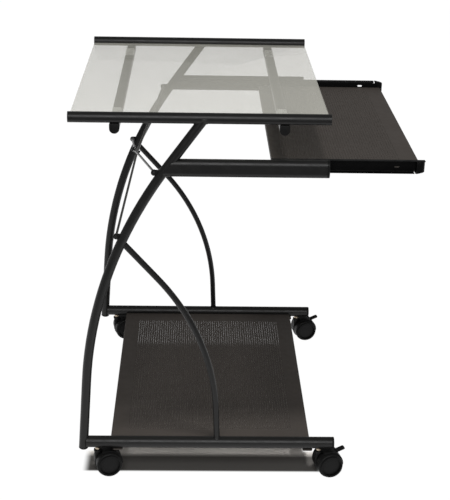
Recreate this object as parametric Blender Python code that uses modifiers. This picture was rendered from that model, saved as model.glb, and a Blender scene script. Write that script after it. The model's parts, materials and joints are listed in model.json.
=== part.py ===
"""Computer desk on casters with a sliding keyboard tray: two bent-tube side frames, a glass top
on two crossbars, a rear cross brace, a lower shelf and a tray on ball slides.

Units are metres, +Z is up, the user stands on the -Y side and +X is the user's right.
The origin is on the floor, in the middle of the desk's outline with the tray pulled out.
"Forward" is the distance in front of the middle of the top rails."""

import math

import bmesh
import bpy
from mathutils import Matrix, Vector

# Driving dimensions
GAP = 0.0003                  # kept between pieces that touch
FRAME_X = 0.3375              # side frame centre plane from the middle of the desk
ORIGIN_FORWARD = 0.096        # the origin's place, forward of the middle of the top rails
WALL = 0.0015                 # steel tube wall

BASE_Z = 0.075                # base tube centre line
BASE_RADIUS = 0.0125
BASE_FRONT = 0.2905
BASE_REAR = -0.2345

RAIL_Z = 0.7915               # top rail centre line
RAIL_SIZE = 0.021
RAIL_CORNER = 0.0095
RAIL_HALF_LENGTH = 0.255

LEG_RADIUS = 0.00975
LEG_FOOT = -0.2405            # forward place of the leg's centre line at the base tube
LEG_FOOT_TILT = math.radians(3.6)
FOOT_DOME = 0.0050            # depth of the plug's dome, shallow enough for a caster to turn under it
LEG_BEND_START = 0.147        # above the base tube
LEG_BEND_RADIUS = 0.90
LEG_TOP_TILT = math.radians(36.0)

BRACE_RADIUS = 0.00635
BRACE_FOOT = 0.0445
BRACE_FOOT_TILT = math.radians(2.3)
BRACE_BEND_START = 0.077
BRACE_BEND_RADIUS = 0.48
BRACE_TOP_TILT = math.radians(42.0)
BRACE_TOP_Z = 0.532           # where its centre line meets the leg's

SLIDE_Z = 0.692               # centre line of the slide tubes and of the ball slides
SLIDE_TUBE_HEIGHT = 0.036
SLIDE_TUBE_DROP = 0.001       # of its centre line below the ball slides'
SLIDE_TUBE_WIDTH = 0.022
SLIDE_TUBE_FRONT = 0.2515
CAP_THICKNESS = 0.0045

CROSSBAR_FORWARD = 0.165      # of the front one; the rear one mirrors it
CROSSBAR_SIZE = 0.020
CROSSBAR_HALF_LENGTH = 0.3425
GLASS_THICKNESS = 0.005
GLASS_HALF_WIDTH = 0.3265
PAD_THICKNESS = 0.0028
PAD_INNER_X, PAD_OUTER_X = 0.235, 0.295
PAD_WIDTH = 0.0185

SHELF_Z = 0.073               # the shelf's upper face
SHELF_REAR, SHELF_FRONT = -0.1845, 0.2445
SHELF_HALF_WIDTH = 0.3243
SHEET = 0.0012
EAR_THICKNESS = 0.0022
EAR_LENGTH = 0.021
EAR_FRONT, EAR_REAR = 0.249, -0.1785

ROD_RADIUS = 0.0025
ROD_UPPER = (-0.0890, 0.680)   # forward and height of the upper brackets
ROD_LOWER = (-0.1650, 0.545)
ROD_BOW = 0.015               # how far the crossing stands behind the brackets
ROD_EYE_RADIUS = 0.0045
BRACKET_THICKNESS = 0.003

TRAY_Z = 0.691                # the tray's upper face
TRAY_REAR, TRAY_FRONT = 0.1455, 0.442
TRAY_HALF_WIDTH = 0.3117
TRAY_LIP = 0.012
MEMBER_REAR, MEMBER_FRONT = 0.142, 0.447
MEMBER_HEIGHT = 0.026
MEMBER_INNER_X, MEMBER_OUTER_X = 0.3122, 0.3245
FIXED_REAR, FIXED_FRONT = -0.048, 0.250
FIXED_BACK_X = 0.3262
FIXED_HAT_X = 0.3155
FIXED_HAT_HEIGHT = 0.014
CAGE_MIDDLE, CAGE_LENGTH = 0.196, 0.075
BALL_RADIUS = 0.0021

STEM_FRONT, STEM_REAR = 0.263, -0.211
STEM_RADIUS = 0.004
HEADING = math.radians(13.5)  # the casters trail forward, turned this far towards +X
TRAIL = 0.0215                # axle behind the stem
WHEEL_FACETS = 24
AXLE_Z = 0.0275
WHEEL_RADIUS = AXLE_Z / math.cos(math.pi / WHEEL_FACETS)
WHEEL_INNER, WHEEL_OUTER = 0.0050, 0.0255
WHEEL_BORE = 0.0222           # how far out the axle's bore reaches
HOOD_RADIUS = 0.0297
HOOD_WALL = 0.0014
HOOD_HALF_WIDTH = 0.0190
LEVER_PIVOT = (0.0340, 0.0440)

SIDES = {"left": -1, "right": 1}


# Scene, collections and materials
def clear_scene():
    for old in list(bpy.data.objects):
        bpy.data.objects.remove(old, do_unlink=True)


def new_collection(name):
    collection = bpy.data.collections.new(name)
    bpy.context.scene.collection.children.link(collection)
    return collection


def material(name, colour, roughness, metallic=0.0):
    made = bpy.data.materials.new(name)
    made.use_nodes = True
    shader = made.node_tree.nodes["Principled BSDF"]
    shader.inputs["Base Color"].default_value = (*colour, 1.0)
    shader.inputs["Roughness"].default_value = roughness
    shader.inputs["Metallic"].default_value = metallic
    return made


clear_scene()
PARTS = new_collection("computer_desk")
CUTTERS = new_collection("cutters")
FRAME_PAINT = material("frame_paint", (0.030, 0.030, 0.030), 0.38)
SHELF_PAINT = material("shelf_paint", (0.045, 0.040, 0.037), 0.55)
SLIDE_STEEL = material("slide_steel", (0.012, 0.012, 0.013), 0.45)
BLACK_PLASTIC = material("black_plastic", (0.015, 0.015, 0.015), 0.5)
ROD_STEEL = material("rod_steel", (0.22, 0.22, 0.22), 0.35, 1.0)
STEM_STEEL = material("stem_steel", (0.62, 0.50, 0.30), 0.3, 1.0)
CLEAR_PAD = material("clear_pad", (0.85, 0.87, 0.85), 0.2)
GLASS = material("glass", (0.72, 0.74, 0.70), 0.02)


# Modelling helpers
def world_y(forward):
    return ORIGIN_FORWARD - forward


def link(mesh_or_curve, name, paint, collection=None):
    made = bpy.data.objects.new(name, mesh_or_curve)
    (collection or PARTS).objects.link(made)
    if paint:
        mesh_or_curve.materials.append(paint)
    return made


def cutter(piece):
    """Moves a piece to the cutters, where the build leaves it out."""
    for owner in list(piece.users_collection):
        owner.objects.unlink(piece)
    CUTTERS.objects.link(piece)
    piece.hide_render = True
    piece.display_type = "WIRE"
    return piece


def make_mesh(piece):
    """Turns a curve object into a welded mesh object of the same name and place."""
    bpy.context.view_layer.update()
    graph = bpy.context.evaluated_depsgraph_get()
    mesh = bpy.data.meshes.new_from_object(piece.evaluated_get(graph))
    work = bmesh.new()
    work.from_mesh(mesh)
    bmesh.ops.remove_doubles(work, verts=work.verts, dist=0.00001)
    bmesh.ops.recalc_face_normals(work, faces=work.faces)
    work.to_mesh(mesh)
    work.free()
    name, place, owners = piece.name, piece.matrix_world.copy(), list(piece.users_collection)
    old_curve = piece.data
    bpy.data.objects.remove(piece)
    bpy.data.curves.remove(old_curve)
    made = bpy.data.objects.new(name, mesh)
    owners[0].objects.link(made)
    made.matrix_world = place
    return made


def cut(piece, tool, operation="DIFFERENCE"):
    step = piece.modifiers.new("cut_by_" + tool.name, "BOOLEAN")
    step.operation = operation
    step.solver = "EXACT"
    step.object = tool
    return piece


def join(piece, tool):
    """Adds a closed shape to a piece, so that they are one body."""
    return cut(piece, cutter(tool), "UNION")


def path_tube(name, points, radius, paint, sides=12, capped=True):
    """A round bar along a run of points."""
    curve = bpy.data.curves.new(name, "CURVE")
    curve.dimensions = "3D"
    curve.bevel_depth = radius
    curve.bevel_resolution = (sides - 4) // 2
    curve.use_fill_caps = capped
    spline = curve.splines.new("POLY")
    spline.points.add(len(points) - 1)
    for place, point in zip(spline.points, points):
        place.co = (*point, 1.0)
    return make_mesh(link(curve, name, paint))


def hollow_tube(name, points, radius, wall, paint, sides=16):
    """A tube with open ends along a run of points."""
    tube = path_tube(name, points, radius, paint, sides, capped=False)
    skin = tube.modifiers.new("wall", "SOLIDIFY")
    skin.thickness = wall
    skin.offset = -1.0
    return tube


def outline_bar(name, loops, half_length, paint, axis, centre):
    """Extrudes flat outlines, an outer loop and its holes, both ways from a centre.

    axis "Y" has the outline's x along X and its y along Z; axis "X" has x along Y, y along Z;
    axis "Z" has x along X and y along Y."""
    curve = bpy.data.curves.new(name, "CURVE")
    curve.dimensions = "2D"
    curve.fill_mode = "BOTH"
    curve.extrude = half_length
    for loop in loops:
        spline = curve.splines.new("POLY")
        spline.points.add(len(loop) - 1)
        spline.use_cyclic_u = True
        for place, (x, y) in zip(spline.points, loop):
            place.co = (x, y, 0.0, 1.0)
    piece = link(curve, name, paint)
    turns = {"Y": Matrix(((1, 0, 0), (0, 0, -1), (0, 1, 0))),
             "X": Matrix(((0, 0, 1), (1, 0, 0), (0, 1, 0))),
             "Z": Matrix.Identity(3)}
    piece.matrix_world = Matrix.Translation(centre) @ turns[axis].to_4x4()
    return make_mesh(piece)


def circle_loop(radius, count=20, centre=(0.0, 0.0)):
    return [(centre[0] + radius * math.cos(2 * math.pi * i / count),
             centre[1] + radius * math.sin(2 * math.pi * i / count)) for i in range(count)]


def rounded_loop(width, height, corner, steps=3, inset=0.0, lower_corner=None):
    """A rounded rectangle; the lower corners can have a radius of their own."""
    lower_corner = corner if lower_corner is None else lower_corner
    half_w, half_h = width / 2 - inset, height / 2 - inset
    loop = []
    for sign_x, sign_y, start in ((1, 1, 0), (-1, 1, 90), (-1, -1, 180), (1, -1, 270)):
        radius = max((corner if sign_y > 0 else lower_corner) - inset, 0.0004)
        for step in range(steps + 1):
            angle = math.radians(start + 90 * step / steps)
            loop.append((sign_x * (half_w - radius) + radius * math.cos(angle),
                         sign_y * (half_h - radius) + radius * math.sin(angle)))
    clean = []
    for point in loop:
        if not clean or math.dist(point, clean[-1]) > 0.00002:
            clean.append(point)
    if math.dist(clean[0], clean[-1]) < 0.00002:
        clean.pop()
    return clean


def box(name, low, high, paint, bevel=0.0):
    work = bmesh.new()
    bmesh.ops.create_cube(work, size=1.0)
    size = Vector(high) - Vector(low)
    bmesh.ops.scale(work, vec=size, verts=work.verts)
    bmesh.ops.translate(work, vec=(Vector(high) + Vector(low)) / 2, verts=work.verts)
    mesh = bpy.data.meshes.new(name)
    work.to_mesh(mesh)
    work.free()
    made = link(mesh, name, paint)
    if bevel:
        edge = made.modifiers.new("rounded_edges", "BEVEL")
        edge.width = bevel
        edge.segments = 1
    return made


def cylinder(name, radius, length, centre, axis, paint, sides=16):
    """A solid cylinder about an axis given as a direction."""
    work = bmesh.new()
    bmesh.ops.create_cone(work, cap_ends=True, segments=sides, radius1=radius, radius2=radius, depth=length)
    mesh = bpy.data.meshes.new(name)
    work.to_mesh(mesh)
    work.free()
    made = link(mesh, name, paint)
    turn = Vector(axis).to_track_quat("Z", "Y").to_matrix().to_4x4()
    made.matrix_world = Matrix.Translation(centre) @ turn
    return made


def pan(name, low, high, lip, thickness, paint):
    """A sheet-metal tray turned upside down: a top with four lips folded down, as one wall."""
    work = bmesh.new()
    bmesh.ops.create_cube(work, size=1.0)
    bottom = [face for face in work.faces if face.normal.z < -0.5]
    bmesh.ops.delete(work, geom=bottom, context="FACES_ONLY")
    size = Vector((high[0] - low[0], high[1] - low[1], lip))
    bmesh.ops.scale(work, vec=size, verts=work.verts)
    middle = Vector(((low[0] + high[0]) / 2, (low[1] + high[1]) / 2, high[2] - lip / 2))
    bmesh.ops.translate(work, vec=middle, verts=work.verts)
    mesh = bpy.data.meshes.new(name)
    work.to_mesh(mesh)
    work.free()
    made = link(mesh, name, paint)
    wall = made.modifiers.new("sheet", "SOLIDIFY")
    wall.thickness = thickness
    wall.offset = -1.0
    wall.use_even_offset = True
    return made


def turned(name, profile, paint, sides, place):
    """A body turned about local Z from a profile of (radius, height), run with the axis on its left."""
    mesh = bpy.data.meshes.new(name)
    work = bmesh.new()
    corners = [work.verts.new((radius, 0.0, height)) for radius, height in profile]
    for first, second in zip(corners, corners[1:]):
        work.edges.new((first, second))
    work.to_mesh(mesh)
    work.free()
    made = link(mesh, name, paint)
    made.matrix_world = place
    screw = made.modifiers.new("turn", "SCREW")
    screw.axis = "Z"
    screw.steps = sides
    screw.render_steps = sides
    screw.use_merge_vertices = True
    screw.merge_threshold = 0.00001
    screw.use_smooth_shade = True
    return made


# Side frames
def bent_line(foot, foot_tilt, bend_start, bend_radius, top_tilt, top_z, lean, low_z, steps=10):
    """Points (forward, height) of a tube that rises straight, bends through one arc and ends straight.

    lean is +1 where the tube leans forward as it rises and -1 where it leans back."""
    start = (foot + lean * math.tan(foot_tilt) * bend_start, BASE_Z + bend_start)
    centre = (start[0] + lean * bend_radius * math.cos(foot_tilt), start[1] - bend_radius * math.sin(foot_tilt))
    points = [(foot + lean * math.tan(foot_tilt) * (low_z - BASE_Z), low_z)]
    for step in range(steps + 1):
        tilt = foot_tilt + (top_tilt - foot_tilt) * step / steps
        points.append((centre[0] - lean * bend_radius * math.cos(tilt),
                       centre[1] + bend_radius * math.sin(tilt)))
    last = points[-1]
    points.append((last[0] + lean * math.tan(top_tilt) * (top_z - last[1]), top_z))
    return points


def leg_line(low_z, top_z):
    return bent_line(LEG_FOOT, LEG_FOOT_TILT, LEG_BEND_START, LEG_BEND_RADIUS, LEG_TOP_TILT, top_z, 1, low_z)


def leg_forward_at(height):
    """The leg's centre line at a height, between its computed points."""
    line = leg_line(BASE_Z, RAIL_Z)
    for (forward_a, z_a), (forward_b, z_b) in zip(line, line[1:]):
        if z_a <= height <= z_b:
            return forward_a + (forward_b - forward_a) * (height - z_a) / (z_b - z_a)
    raise ValueError(height)


def in_frame(side, line):
    return [(SIDES[side] * FRAME_X, world_y(forward), height) for forward, height in line]


def make_leg(side):
    foot_z = BASE_Z - BASE_RADIUS
    leg = hollow_tube(side + "_leg", in_frame(side, leg_line(foot_z, RAIL_Z)), LEG_RADIUS, WALL, FRAME_PAINT)
    x = SIDES[side] * FRAME_X
    section = rounded_loop(RAIL_SIZE + 2 * GAP, RAIL_SIZE + 2 * GAP, RAIL_CORNER + GAP)
    rail_shape = outline_bar(side + "_rail_tool", [section], 0.4, None, "Y", (x, world_y(0), RAIL_Z))
    cut(leg, cutter(rail_shape))
    for place, (forward, height) in (("upper", ROD_UPPER), ("lower", ROD_LOWER)):
        reach = leg_forward_at(height) - LEG_RADIUS + 0.001
        ear = box(side + "_" + place + "_bracket",
                  (x - BRACKET_THICKNESS / 2, world_y(reach), height - 0.006),
                  (x + BRACKET_THICKNESS / 2, world_y(forward - 0.006), height + 0.006), FRAME_PAINT)
        join(leg, ear)
    return leg


def leg_tool(side):
    """A solid slightly fatter than the leg, which copes the tubes that end on it."""
    line = leg_line(BASE_Z - 0.03, RAIL_Z + 0.02)
    return cutter(path_tube(side + "_leg_tool", in_frame(side, line), LEG_RADIUS + GAP, None, 16))


def base_tool(side):
    x = SIDES[side] * FRAME_X
    return cutter(cylinder(side + "_base_tool", BASE_RADIUS + GAP, 0.7, (x, 0, BASE_Z), (0, 1, 0), None, 20))


def make_base_tube(side, leg_shape):
    x = SIDES[side] * FRAME_X
    middle = (BASE_FRONT + BASE_REAR) / 2
    tube = outline_bar(side + "_base_tube", [circle_loop(BASE_RADIUS), circle_loop(BASE_RADIUS - WALL)],
                       (BASE_FRONT - BASE_REAR) / 2, FRAME_PAINT, "Y", (x, world_y(middle), BASE_Z))
    cut(tube, leg_shape)
    for place, forward in (("front", STEM_FRONT), ("rear", STEM_REAR)):
        hole = cylinder(side + "_" + place + "_stem_hole", STEM_RADIUS + GAP, 0.010,
                        (x, world_y(forward), BASE_Z - BASE_RADIUS), (0, 0, 1), None, 12)
        cut(tube, cutter(hole))
    return tube


def make_brace(side, leg_shape, base_shape):
    line = bent_line(BRACE_FOOT, BRACE_FOOT_TILT, BRACE_BEND_START, BRACE_BEND_RADIUS, BRACE_TOP_TILT,
                     BRACE_TOP_Z, -1, BASE_Z)
    tube = hollow_tube(side + "_brace", in_frame(side, line), BRACE_RADIUS, 0.0012, FRAME_PAINT, 12)
    cut(tube, leg_shape)
    return cut(tube, base_shape)


def make_top_rail(side):
    x = SIDES[side] * FRAME_X
    loops = [rounded_loop(RAIL_SIZE, RAIL_SIZE, RAIL_CORNER),
             rounded_loop(RAIL_SIZE, RAIL_SIZE, RAIL_CORNER, inset=WALL)]
    return outline_bar(side + "_top_rail", loops, RAIL_HALF_LENGTH, FRAME_PAINT, "Y", (x, world_y(0), RAIL_Z))


def make_slide_tube(side, leg_shape):
    x = SIDES[side] * FRAME_X
    rear = leg_forward_at(SLIDE_Z) - 0.030
    corner = SLIDE_TUBE_WIDTH / 2
    loops = [rounded_loop(SLIDE_TUBE_WIDTH, SLIDE_TUBE_HEIGHT, corner, 4),
             rounded_loop(SLIDE_TUBE_WIDTH, SLIDE_TUBE_HEIGHT, corner, 4, inset=WALL)]
    tube = outline_bar(side + "_slide_tube", loops, (SLIDE_TUBE_FRONT - rear) / 2, FRAME_PAINT, "Y",
                       (x, world_y((SLIDE_TUBE_FRONT + rear) / 2), SLIDE_Z - SLIDE_TUBE_DROP))
    behind = box(side + "_slide_tube_trim", (-0.03, 0.0, -0.1), (0.03, 0.1, 0.1), None)
    behind.matrix_world = (Matrix.Translation((x, world_y(leg_forward_at(SLIDE_Z)), SLIDE_Z))
                           @ Matrix.Rotation(LEG_TOP_TILT, 4, "X"))
    cut(tube, cutter(behind))
    return cut(tube, leg_shape)


def make_caps(side):
    """Plastic plugs: the leg's domed foot, and the front ends of the base and slide tubes."""
    x = SIDES[side] * FRAME_X
    inside = LEG_RADIUS - WALL - GAP
    profile = [(0.0, 0.011), (inside, 0.011), (inside, -GAP), (LEG_RADIUS, -GAP)]
    profile += [(LEG_RADIUS * math.cos(a), -GAP - FOOT_DOME * math.sin(a))
                for a in (math.radians(30), math.radians(60))]
    profile.append((0.0, -GAP - FOOT_DOME))
    foot_z = BASE_Z - BASE_RADIUS
    forward = LEG_FOOT + math.tan(LEG_FOOT_TILT) * (foot_z - BASE_Z)
    place = (Matrix.Translation((x, world_y(forward), foot_z)) @ Matrix.Rotation(LEG_FOOT_TILT, 4, "X"))
    turned(side + "_leg_foot", profile, BLACK_PLASTIC, 16, place)

    cap_middle = BASE_FRONT + GAP + CAP_THICKNESS / 2
    cap = outline_bar(side + "_base_cap", [circle_loop(BASE_RADIUS)], CAP_THICKNESS / 2, BLACK_PLASTIC, "Y",
                      (x, world_y(cap_middle), BASE_Z))
    plug = cylinder(side + "_base_plug", BASE_RADIUS - WALL - GAP, 0.012, (x, world_y(BASE_FRONT - 0.004), BASE_Z),
                    (0, 1, 0), None, 20)
    join(cap, plug)

    cap_middle = SLIDE_TUBE_FRONT + GAP + CAP_THICKNESS / 2
    half_width = SLIDE_TUBE_WIDTH / 2
    cap = outline_bar(side + "_slide_tube_cap", [rounded_loop(SLIDE_TUBE_WIDTH, SLIDE_TUBE_HEIGHT, half_width, 4)],
                      CAP_THICKNESS / 2, BLACK_PLASTIC, "Y", (x, world_y(cap_middle), SLIDE_Z - SLIDE_TUBE_DROP))
    inside = rounded_loop(SLIDE_TUBE_WIDTH, SLIDE_TUBE_HEIGHT, half_width, 4, inset=WALL + GAP)
    plug = outline_bar(side + "_slide_tube_plug", [inside], 0.006, None, "Y",
                       (x, world_y(SLIDE_TUBE_FRONT - 0.004), SLIDE_Z - SLIDE_TUBE_DROP))
    join(cap, plug)


# Top
def make_crossbar(place, forward):
    z = RAIL_Z - RAIL_SIZE / 2 - GAP - CROSSBAR_SIZE / 2
    section = rounded_loop(CROSSBAR_SIZE, CROSSBAR_SIZE, 0.002, 3, lower_corner=0.0098)
    bore = rounded_loop(CROSSBAR_SIZE, CROSSBAR_SIZE, 0.002, 3, inset=WALL, lower_corner=0.0098)
    centre = (0, world_y(forward), z)
    outline_bar(place + "_crossbar", [section, bore], CROSSBAR_HALF_LENGTH, FRAME_PAINT, "X", centre)
    for side, sign in SIDES.items():
        cap_x = sign * (CROSSBAR_HALF_LENGTH + GAP + 0.0015)
        cap = outline_bar(side + "_" + place + "_crossbar_cap", [section], 0.0015, BLACK_PLASTIC, "X",
                          (cap_x, centre[1], z))
        inside = rounded_loop(CROSSBAR_SIZE, CROSSBAR_SIZE, 0.002, 3, inset=WALL + GAP, lower_corner=0.0098)
        plug = outline_bar(side + "_" + place + "_crossbar_plug", [inside], 0.005, None, "X",
                           (cap_x - sign * 0.005, centre[1], z))
        join(cap, plug)
        low_x, high_x = sorted((sign * PAD_INNER_X, sign * PAD_OUTER_X))
        top = z + CROSSBAR_SIZE / 2 + GAP
        box(side + "_" + place + "_glass_pad", (low_x, centre[1] - PAD_WIDTH / 2, top),
            (high_x, centre[1] + PAD_WIDTH / 2, top + PAD_THICKNESS), CLEAR_PAD)
    return z + CROSSBAR_SIZE / 2 + GAP + PAD_THICKNESS + GAP


def make_glass(low_z):
    box("glass_top", (-GLASS_HALF_WIDTH, world_y(RAIL_HALF_LENGTH - 0.0005), low_z),
        (GLASS_HALF_WIDTH, world_y(-RAIL_HALF_LENGTH + 0.0005), low_z + GLASS_THICKNESS), GLASS, 0.0008)


# Shelf, cross brace
def make_shelf():
    low = (-SHELF_HALF_WIDTH, world_y(SHELF_FRONT))
    high = (SHELF_HALF_WIDTH, world_y(SHELF_REAR), SHELF_Z)
    lip = SHELF_Z - (BASE_Z - BASE_RADIUS)
    shelf = pan("lower_shelf", low, high, lip, SHEET, SHELF_PAINT)
    ear_top = BASE_Z - BASE_RADIUS - GAP
    for side, sign in SIDES.items():
        for place, forward in (("front", EAR_FRONT), ("rear", EAR_REAR + EAR_LENGTH)):
            ends = sorted((sign * (SHELF_HALF_WIDTH - 0.0008), sign * (FRAME_X + 0.010)))
            name = side + "_" + place + "_shelf_ear"
            join(shelf, box(name, (ends[0], world_y(forward), ear_top - EAR_THICKNESS),
                            (ends[1], world_y(forward - EAR_LENGTH), ear_top), SHELF_PAINT))
            ends = sorted((sign * (SHELF_HALF_WIDTH - 0.0010), sign * (SHELF_HALF_WIDTH - 0.0001)))
            join(shelf, box(name + "_fold", (ends[0], world_y(forward), ear_top - EAR_THICKNESS / 2),
                            (ends[1], world_y(forward - EAR_LENGTH), ear_top + 0.003), SHELF_PAINT))
    return shelf


def make_cross_rod(name, left, right, sign):
    """One bent rod between two brackets; sign puts it on its own side of the crossing."""
    across = FRAME_X - BRACKET_THICKNESS / 2 - GAP - ROD_RADIUS
    tilt = Vector((0, -(ROD_UPPER[0] - ROD_LOWER[0]), ROD_UPPER[1] - ROD_LOWER[1])).normalized()
    behind = tilt.cross(Vector((1, 0, 0)))
    if behind.y < 0:
        behind.negate()
    ends = [Vector((-across, world_y(left[0]), left[1])), Vector((across, world_y(right[0]), right[1]))]
    middle = (ends[0] + ends[1]) / 2 + behind * (ROD_BOW + sign * (ROD_RADIUS + 0.0006))
    run = (ends[1] - ends[0]).normalized() * 0.02
    points = [ends[0], middle - run - behind * 0.0005, middle, middle + run - behind * 0.0005, ends[1]]
    rod = path_tube(name, points, ROD_RADIUS, ROD_STEEL, 8)
    for end, place in zip(ends, ("left", "right")):
        join(rod, cylinder(name + "_" + place + "_eye", ROD_EYE_RADIUS, 2 * ROD_RADIUS, end, (1, 0, 0), None, 12))
    join(rod, cylinder(name + "_eye", ROD_EYE_RADIUS, 0.0042, middle, behind, None, 12))
    hole = cylinder(name + "_hole", 0.0018, 0.02, middle, behind, None, 8)
    return cut(rod, cutter(hole)), middle, behind


def make_cross_brace():
    _, back, behind = make_cross_rod("cross_rod_a", ROD_UPPER, ROD_LOWER, 1)
    _, front, _ = make_cross_rod("cross_rod_b", ROD_LOWER, ROD_UPPER, -1)
    centre = (back + front) / 2
    half_stack = (back - front).length / 2 + ROD_RADIUS + 2 * GAP
    bolt = cylinder("cross_bolt", 0.0015, 2 * half_stack + 0.004, centre, behind, ROD_STEEL, 8)
    for name, way in (("head", 1), ("nut", -1)):
        knob = cylinder("cross_bolt_" + name, 0.0042, 0.003, centre + behind * way * (half_stack + 0.0015), behind,
                        ROD_STEEL, 6)
        join(bolt, knob)
    return bolt


# Keyboard tray and its ball slides
def make_tray():
    low = (-TRAY_HALF_WIDTH, world_y(TRAY_FRONT))
    high = (TRAY_HALF_WIDTH, world_y(TRAY_REAR), TRAY_Z)
    return pan("keyboard_tray", low, high, TRAY_LIP, 0.0010, SHELF_PAINT)


def make_slide(side):
    sign = SIDES[side]
    half = MEMBER_HEIGHT / 2
    web, wall = MEMBER_INNER_X, 0.0012
    length = MEMBER_FRONT - MEMBER_REAR
    section = [(MEMBER_OUTER_X, half), (web, half), (web, -half), (MEMBER_OUTER_X, -half),
               (MEMBER_OUTER_X, -half + wall), (web + wall, -half + wall), (web + wall, half - wall),
               (MEMBER_OUTER_X, half - wall)]
    section = [(sign * x, z) for x, z in section]
    member = outline_bar(side + "_tray_member", [section], length / 2, SLIDE_STEEL, "Y",
                         (0, world_y((MEMBER_FRONT + MEMBER_REAR) / 2), SLIDE_Z))
    slot = rounded_loop(0.0105, 0.0038, 0.0018, 2)
    middle_x = sign * (web + wall / 2)
    hole = outline_bar(side + "_member_slot", [slot], 0.003, None, "X",
                       (middle_x, world_y(0.3925), SLIDE_Z + sign * 0.0022))
    cut(member, cutter(hole))
    ends = sorted((sign * (web + 0.0004), sign * (MEMBER_OUTER_X - 0.0002)))
    inside = half - 0.0006
    stop = box(side + "_member_stop", (ends[0], world_y(MEMBER_FRONT - 0.0002), SLIDE_Z - inside),
               (ends[1], world_y(MEMBER_FRONT - 0.017), SLIDE_Z + inside), None)
    join(member, stop)
    edge = sign * half
    nick_ends = sorted((SLIDE_Z + edge * 1.05, SLIDE_Z + edge * 0.70))
    nick_x = sorted((sign * (web - 0.001), sign * (MEMBER_OUTER_X + 0.001)))
    nick = box(side + "_member_nick", (nick_x[0], world_y(0.4285), nick_ends[0]),
               (nick_x[1], world_y(0.4265), nick_ends[1]), None)
    cut(member, cutter(nick))
    inside_y, outside_y = world_y(MEMBER_FRONT - 0.015), world_y(MEMBER_FRONT + 0.001)
    wedge = [(inside_y, edge), (outside_y, edge - sign * 0.0034), (outside_y, edge * 1.1), (inside_y, edge * 1.1)]
    corner = outline_bar(side + "_member_corner", [wedge], 0.008, None, "X",
                         (sign * (web + MEMBER_OUTER_X) / 2, 0, SLIDE_Z))
    cut(member, cutter(corner))
    make_fixed_member(side, sign)
    make_cage(side, sign)


def make_fixed_member(side, sign):
    """The fixed rail: a flat back with a hat channel that the balls run on."""
    back, hat, wall = FIXED_BACK_X, FIXED_HAT_X, 0.0012
    tall, low = 0.0115, FIXED_HAT_HEIGHT / 2
    half = [(back, tall), (back - wall, tall), (back - wall, low), (hat, low)]
    outer = half + [(x, -z) for x, z in reversed(half)]
    inner = [(back, -low + wall), (hat + wall, -low + wall), (hat + wall, low - wall), (back, low - wall)]
    section = [(sign * x, z) for x, z in outer + inner]
    outline_bar(side + "_fixed_member", [section], (FIXED_FRONT - FIXED_REAR) / 2, SLIDE_STEEL, "Y",
                (0, world_y((FIXED_FRONT + FIXED_REAR) / 2), SLIDE_Z))


def make_cage(side, sign):
    """The ball cage: a bent strip round the hat channel, with its balls in it."""
    inner, outer, high, wall = 0.3139, 0.3235, 0.0099, 0.0008
    section = [(outer, high), (inner, high), (inner, -high), (outer, -high), (outer, -high + wall),
               (inner + wall, -high + wall), (inner + wall, high - wall), (outer, high - wall)]
    section = [(sign * x, z) for x, z in section]
    cage = outline_bar(side + "_ball_cage", [section], CAGE_LENGTH / 2, SLIDE_STEEL, "Y",
                       (0, world_y(CAGE_MIDDLE), SLIDE_Z))
    ball_x = sign * (inner + outer + 0.0016) / 2
    for count, forward in enumerate((CAGE_MIDDLE - 0.030, CAGE_MIDDLE, CAGE_MIDDLE + 0.030)):
        for name, z in (("upper", high - wall / 2), ("lower", -high + wall / 2)):
            work = bmesh.new()
            bmesh.ops.create_uvsphere(work, u_segments=6, v_segments=4, radius=BALL_RADIUS)
            mesh = bpy.data.meshes.new("ball")
            work.to_mesh(mesh)
            work.free()
            ball = link(mesh, side + "_" + name + "_ball_" + str(count), None)
            ball.location = (ball_x, world_y(forward), SLIDE_Z + z)
            join(cage, ball)


# Casters
def caster_frame(name, x, forward):
    """An empty on the stem's axis: local X trails, local Y is the axle's direction."""
    empty = bpy.data.objects.new(name + "_swivel_axis", None)
    PARTS.objects.link(empty)
    trail = Vector((math.sin(HEADING), -math.cos(HEADING), 0))
    across = Vector((0, 0, 1)).cross(trail)
    turn = Matrix((trail, across, Vector((0, 0, 1)))).transposed().to_4x4()
    empty.matrix_world = Matrix.Translation((x, world_y(forward), 0)) @ turn
    return empty


def into(empty, piece):
    """Puts a piece modelled about the world's origin into a caster's frame."""
    local = piece.matrix_world.copy()
    piece.parent = empty
    piece.matrix_local = local
    return piece


def hood_loop(start, end, steps=10):
    loop = []
    for radius, order in ((HOOD_RADIUS, range(steps + 1)), (HOOD_RADIUS - HOOD_WALL, range(steps, -1, -1))):
        for step in order:
            angle = math.radians(start + (end - start) * step / steps)
            loop.append((TRAIL + radius * math.cos(angle), AXLE_Z + radius * math.sin(angle)))
    return loop


def web_loop():
    """The web between the wheels: round the axle, up to the hood and out to the stem."""
    loop = [(TRAIL + 0.0289 * math.cos(math.radians(a)), AXLE_Z + 0.0289 * math.sin(math.radians(a)))
            for a in (72, 87, 102, 116)]
    loop += [(0.0, 0.0540), (-0.0075, 0.0530), (-0.0075, 0.040)]
    loop += [(TRAIL + 0.012 * math.cos(math.radians(a)), AXLE_Z + 0.012 * math.sin(math.radians(a)))
             for a in (200, 235, 270, 305, 340, 375, 400)]
    return loop


def xz_bar(name, loop, half_width, paint):
    """Extrudes an outline given in the caster's trail and height along its axle."""
    return outline_bar(name, [loop], half_width, paint, "Y", (0, 0, 0))


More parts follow.
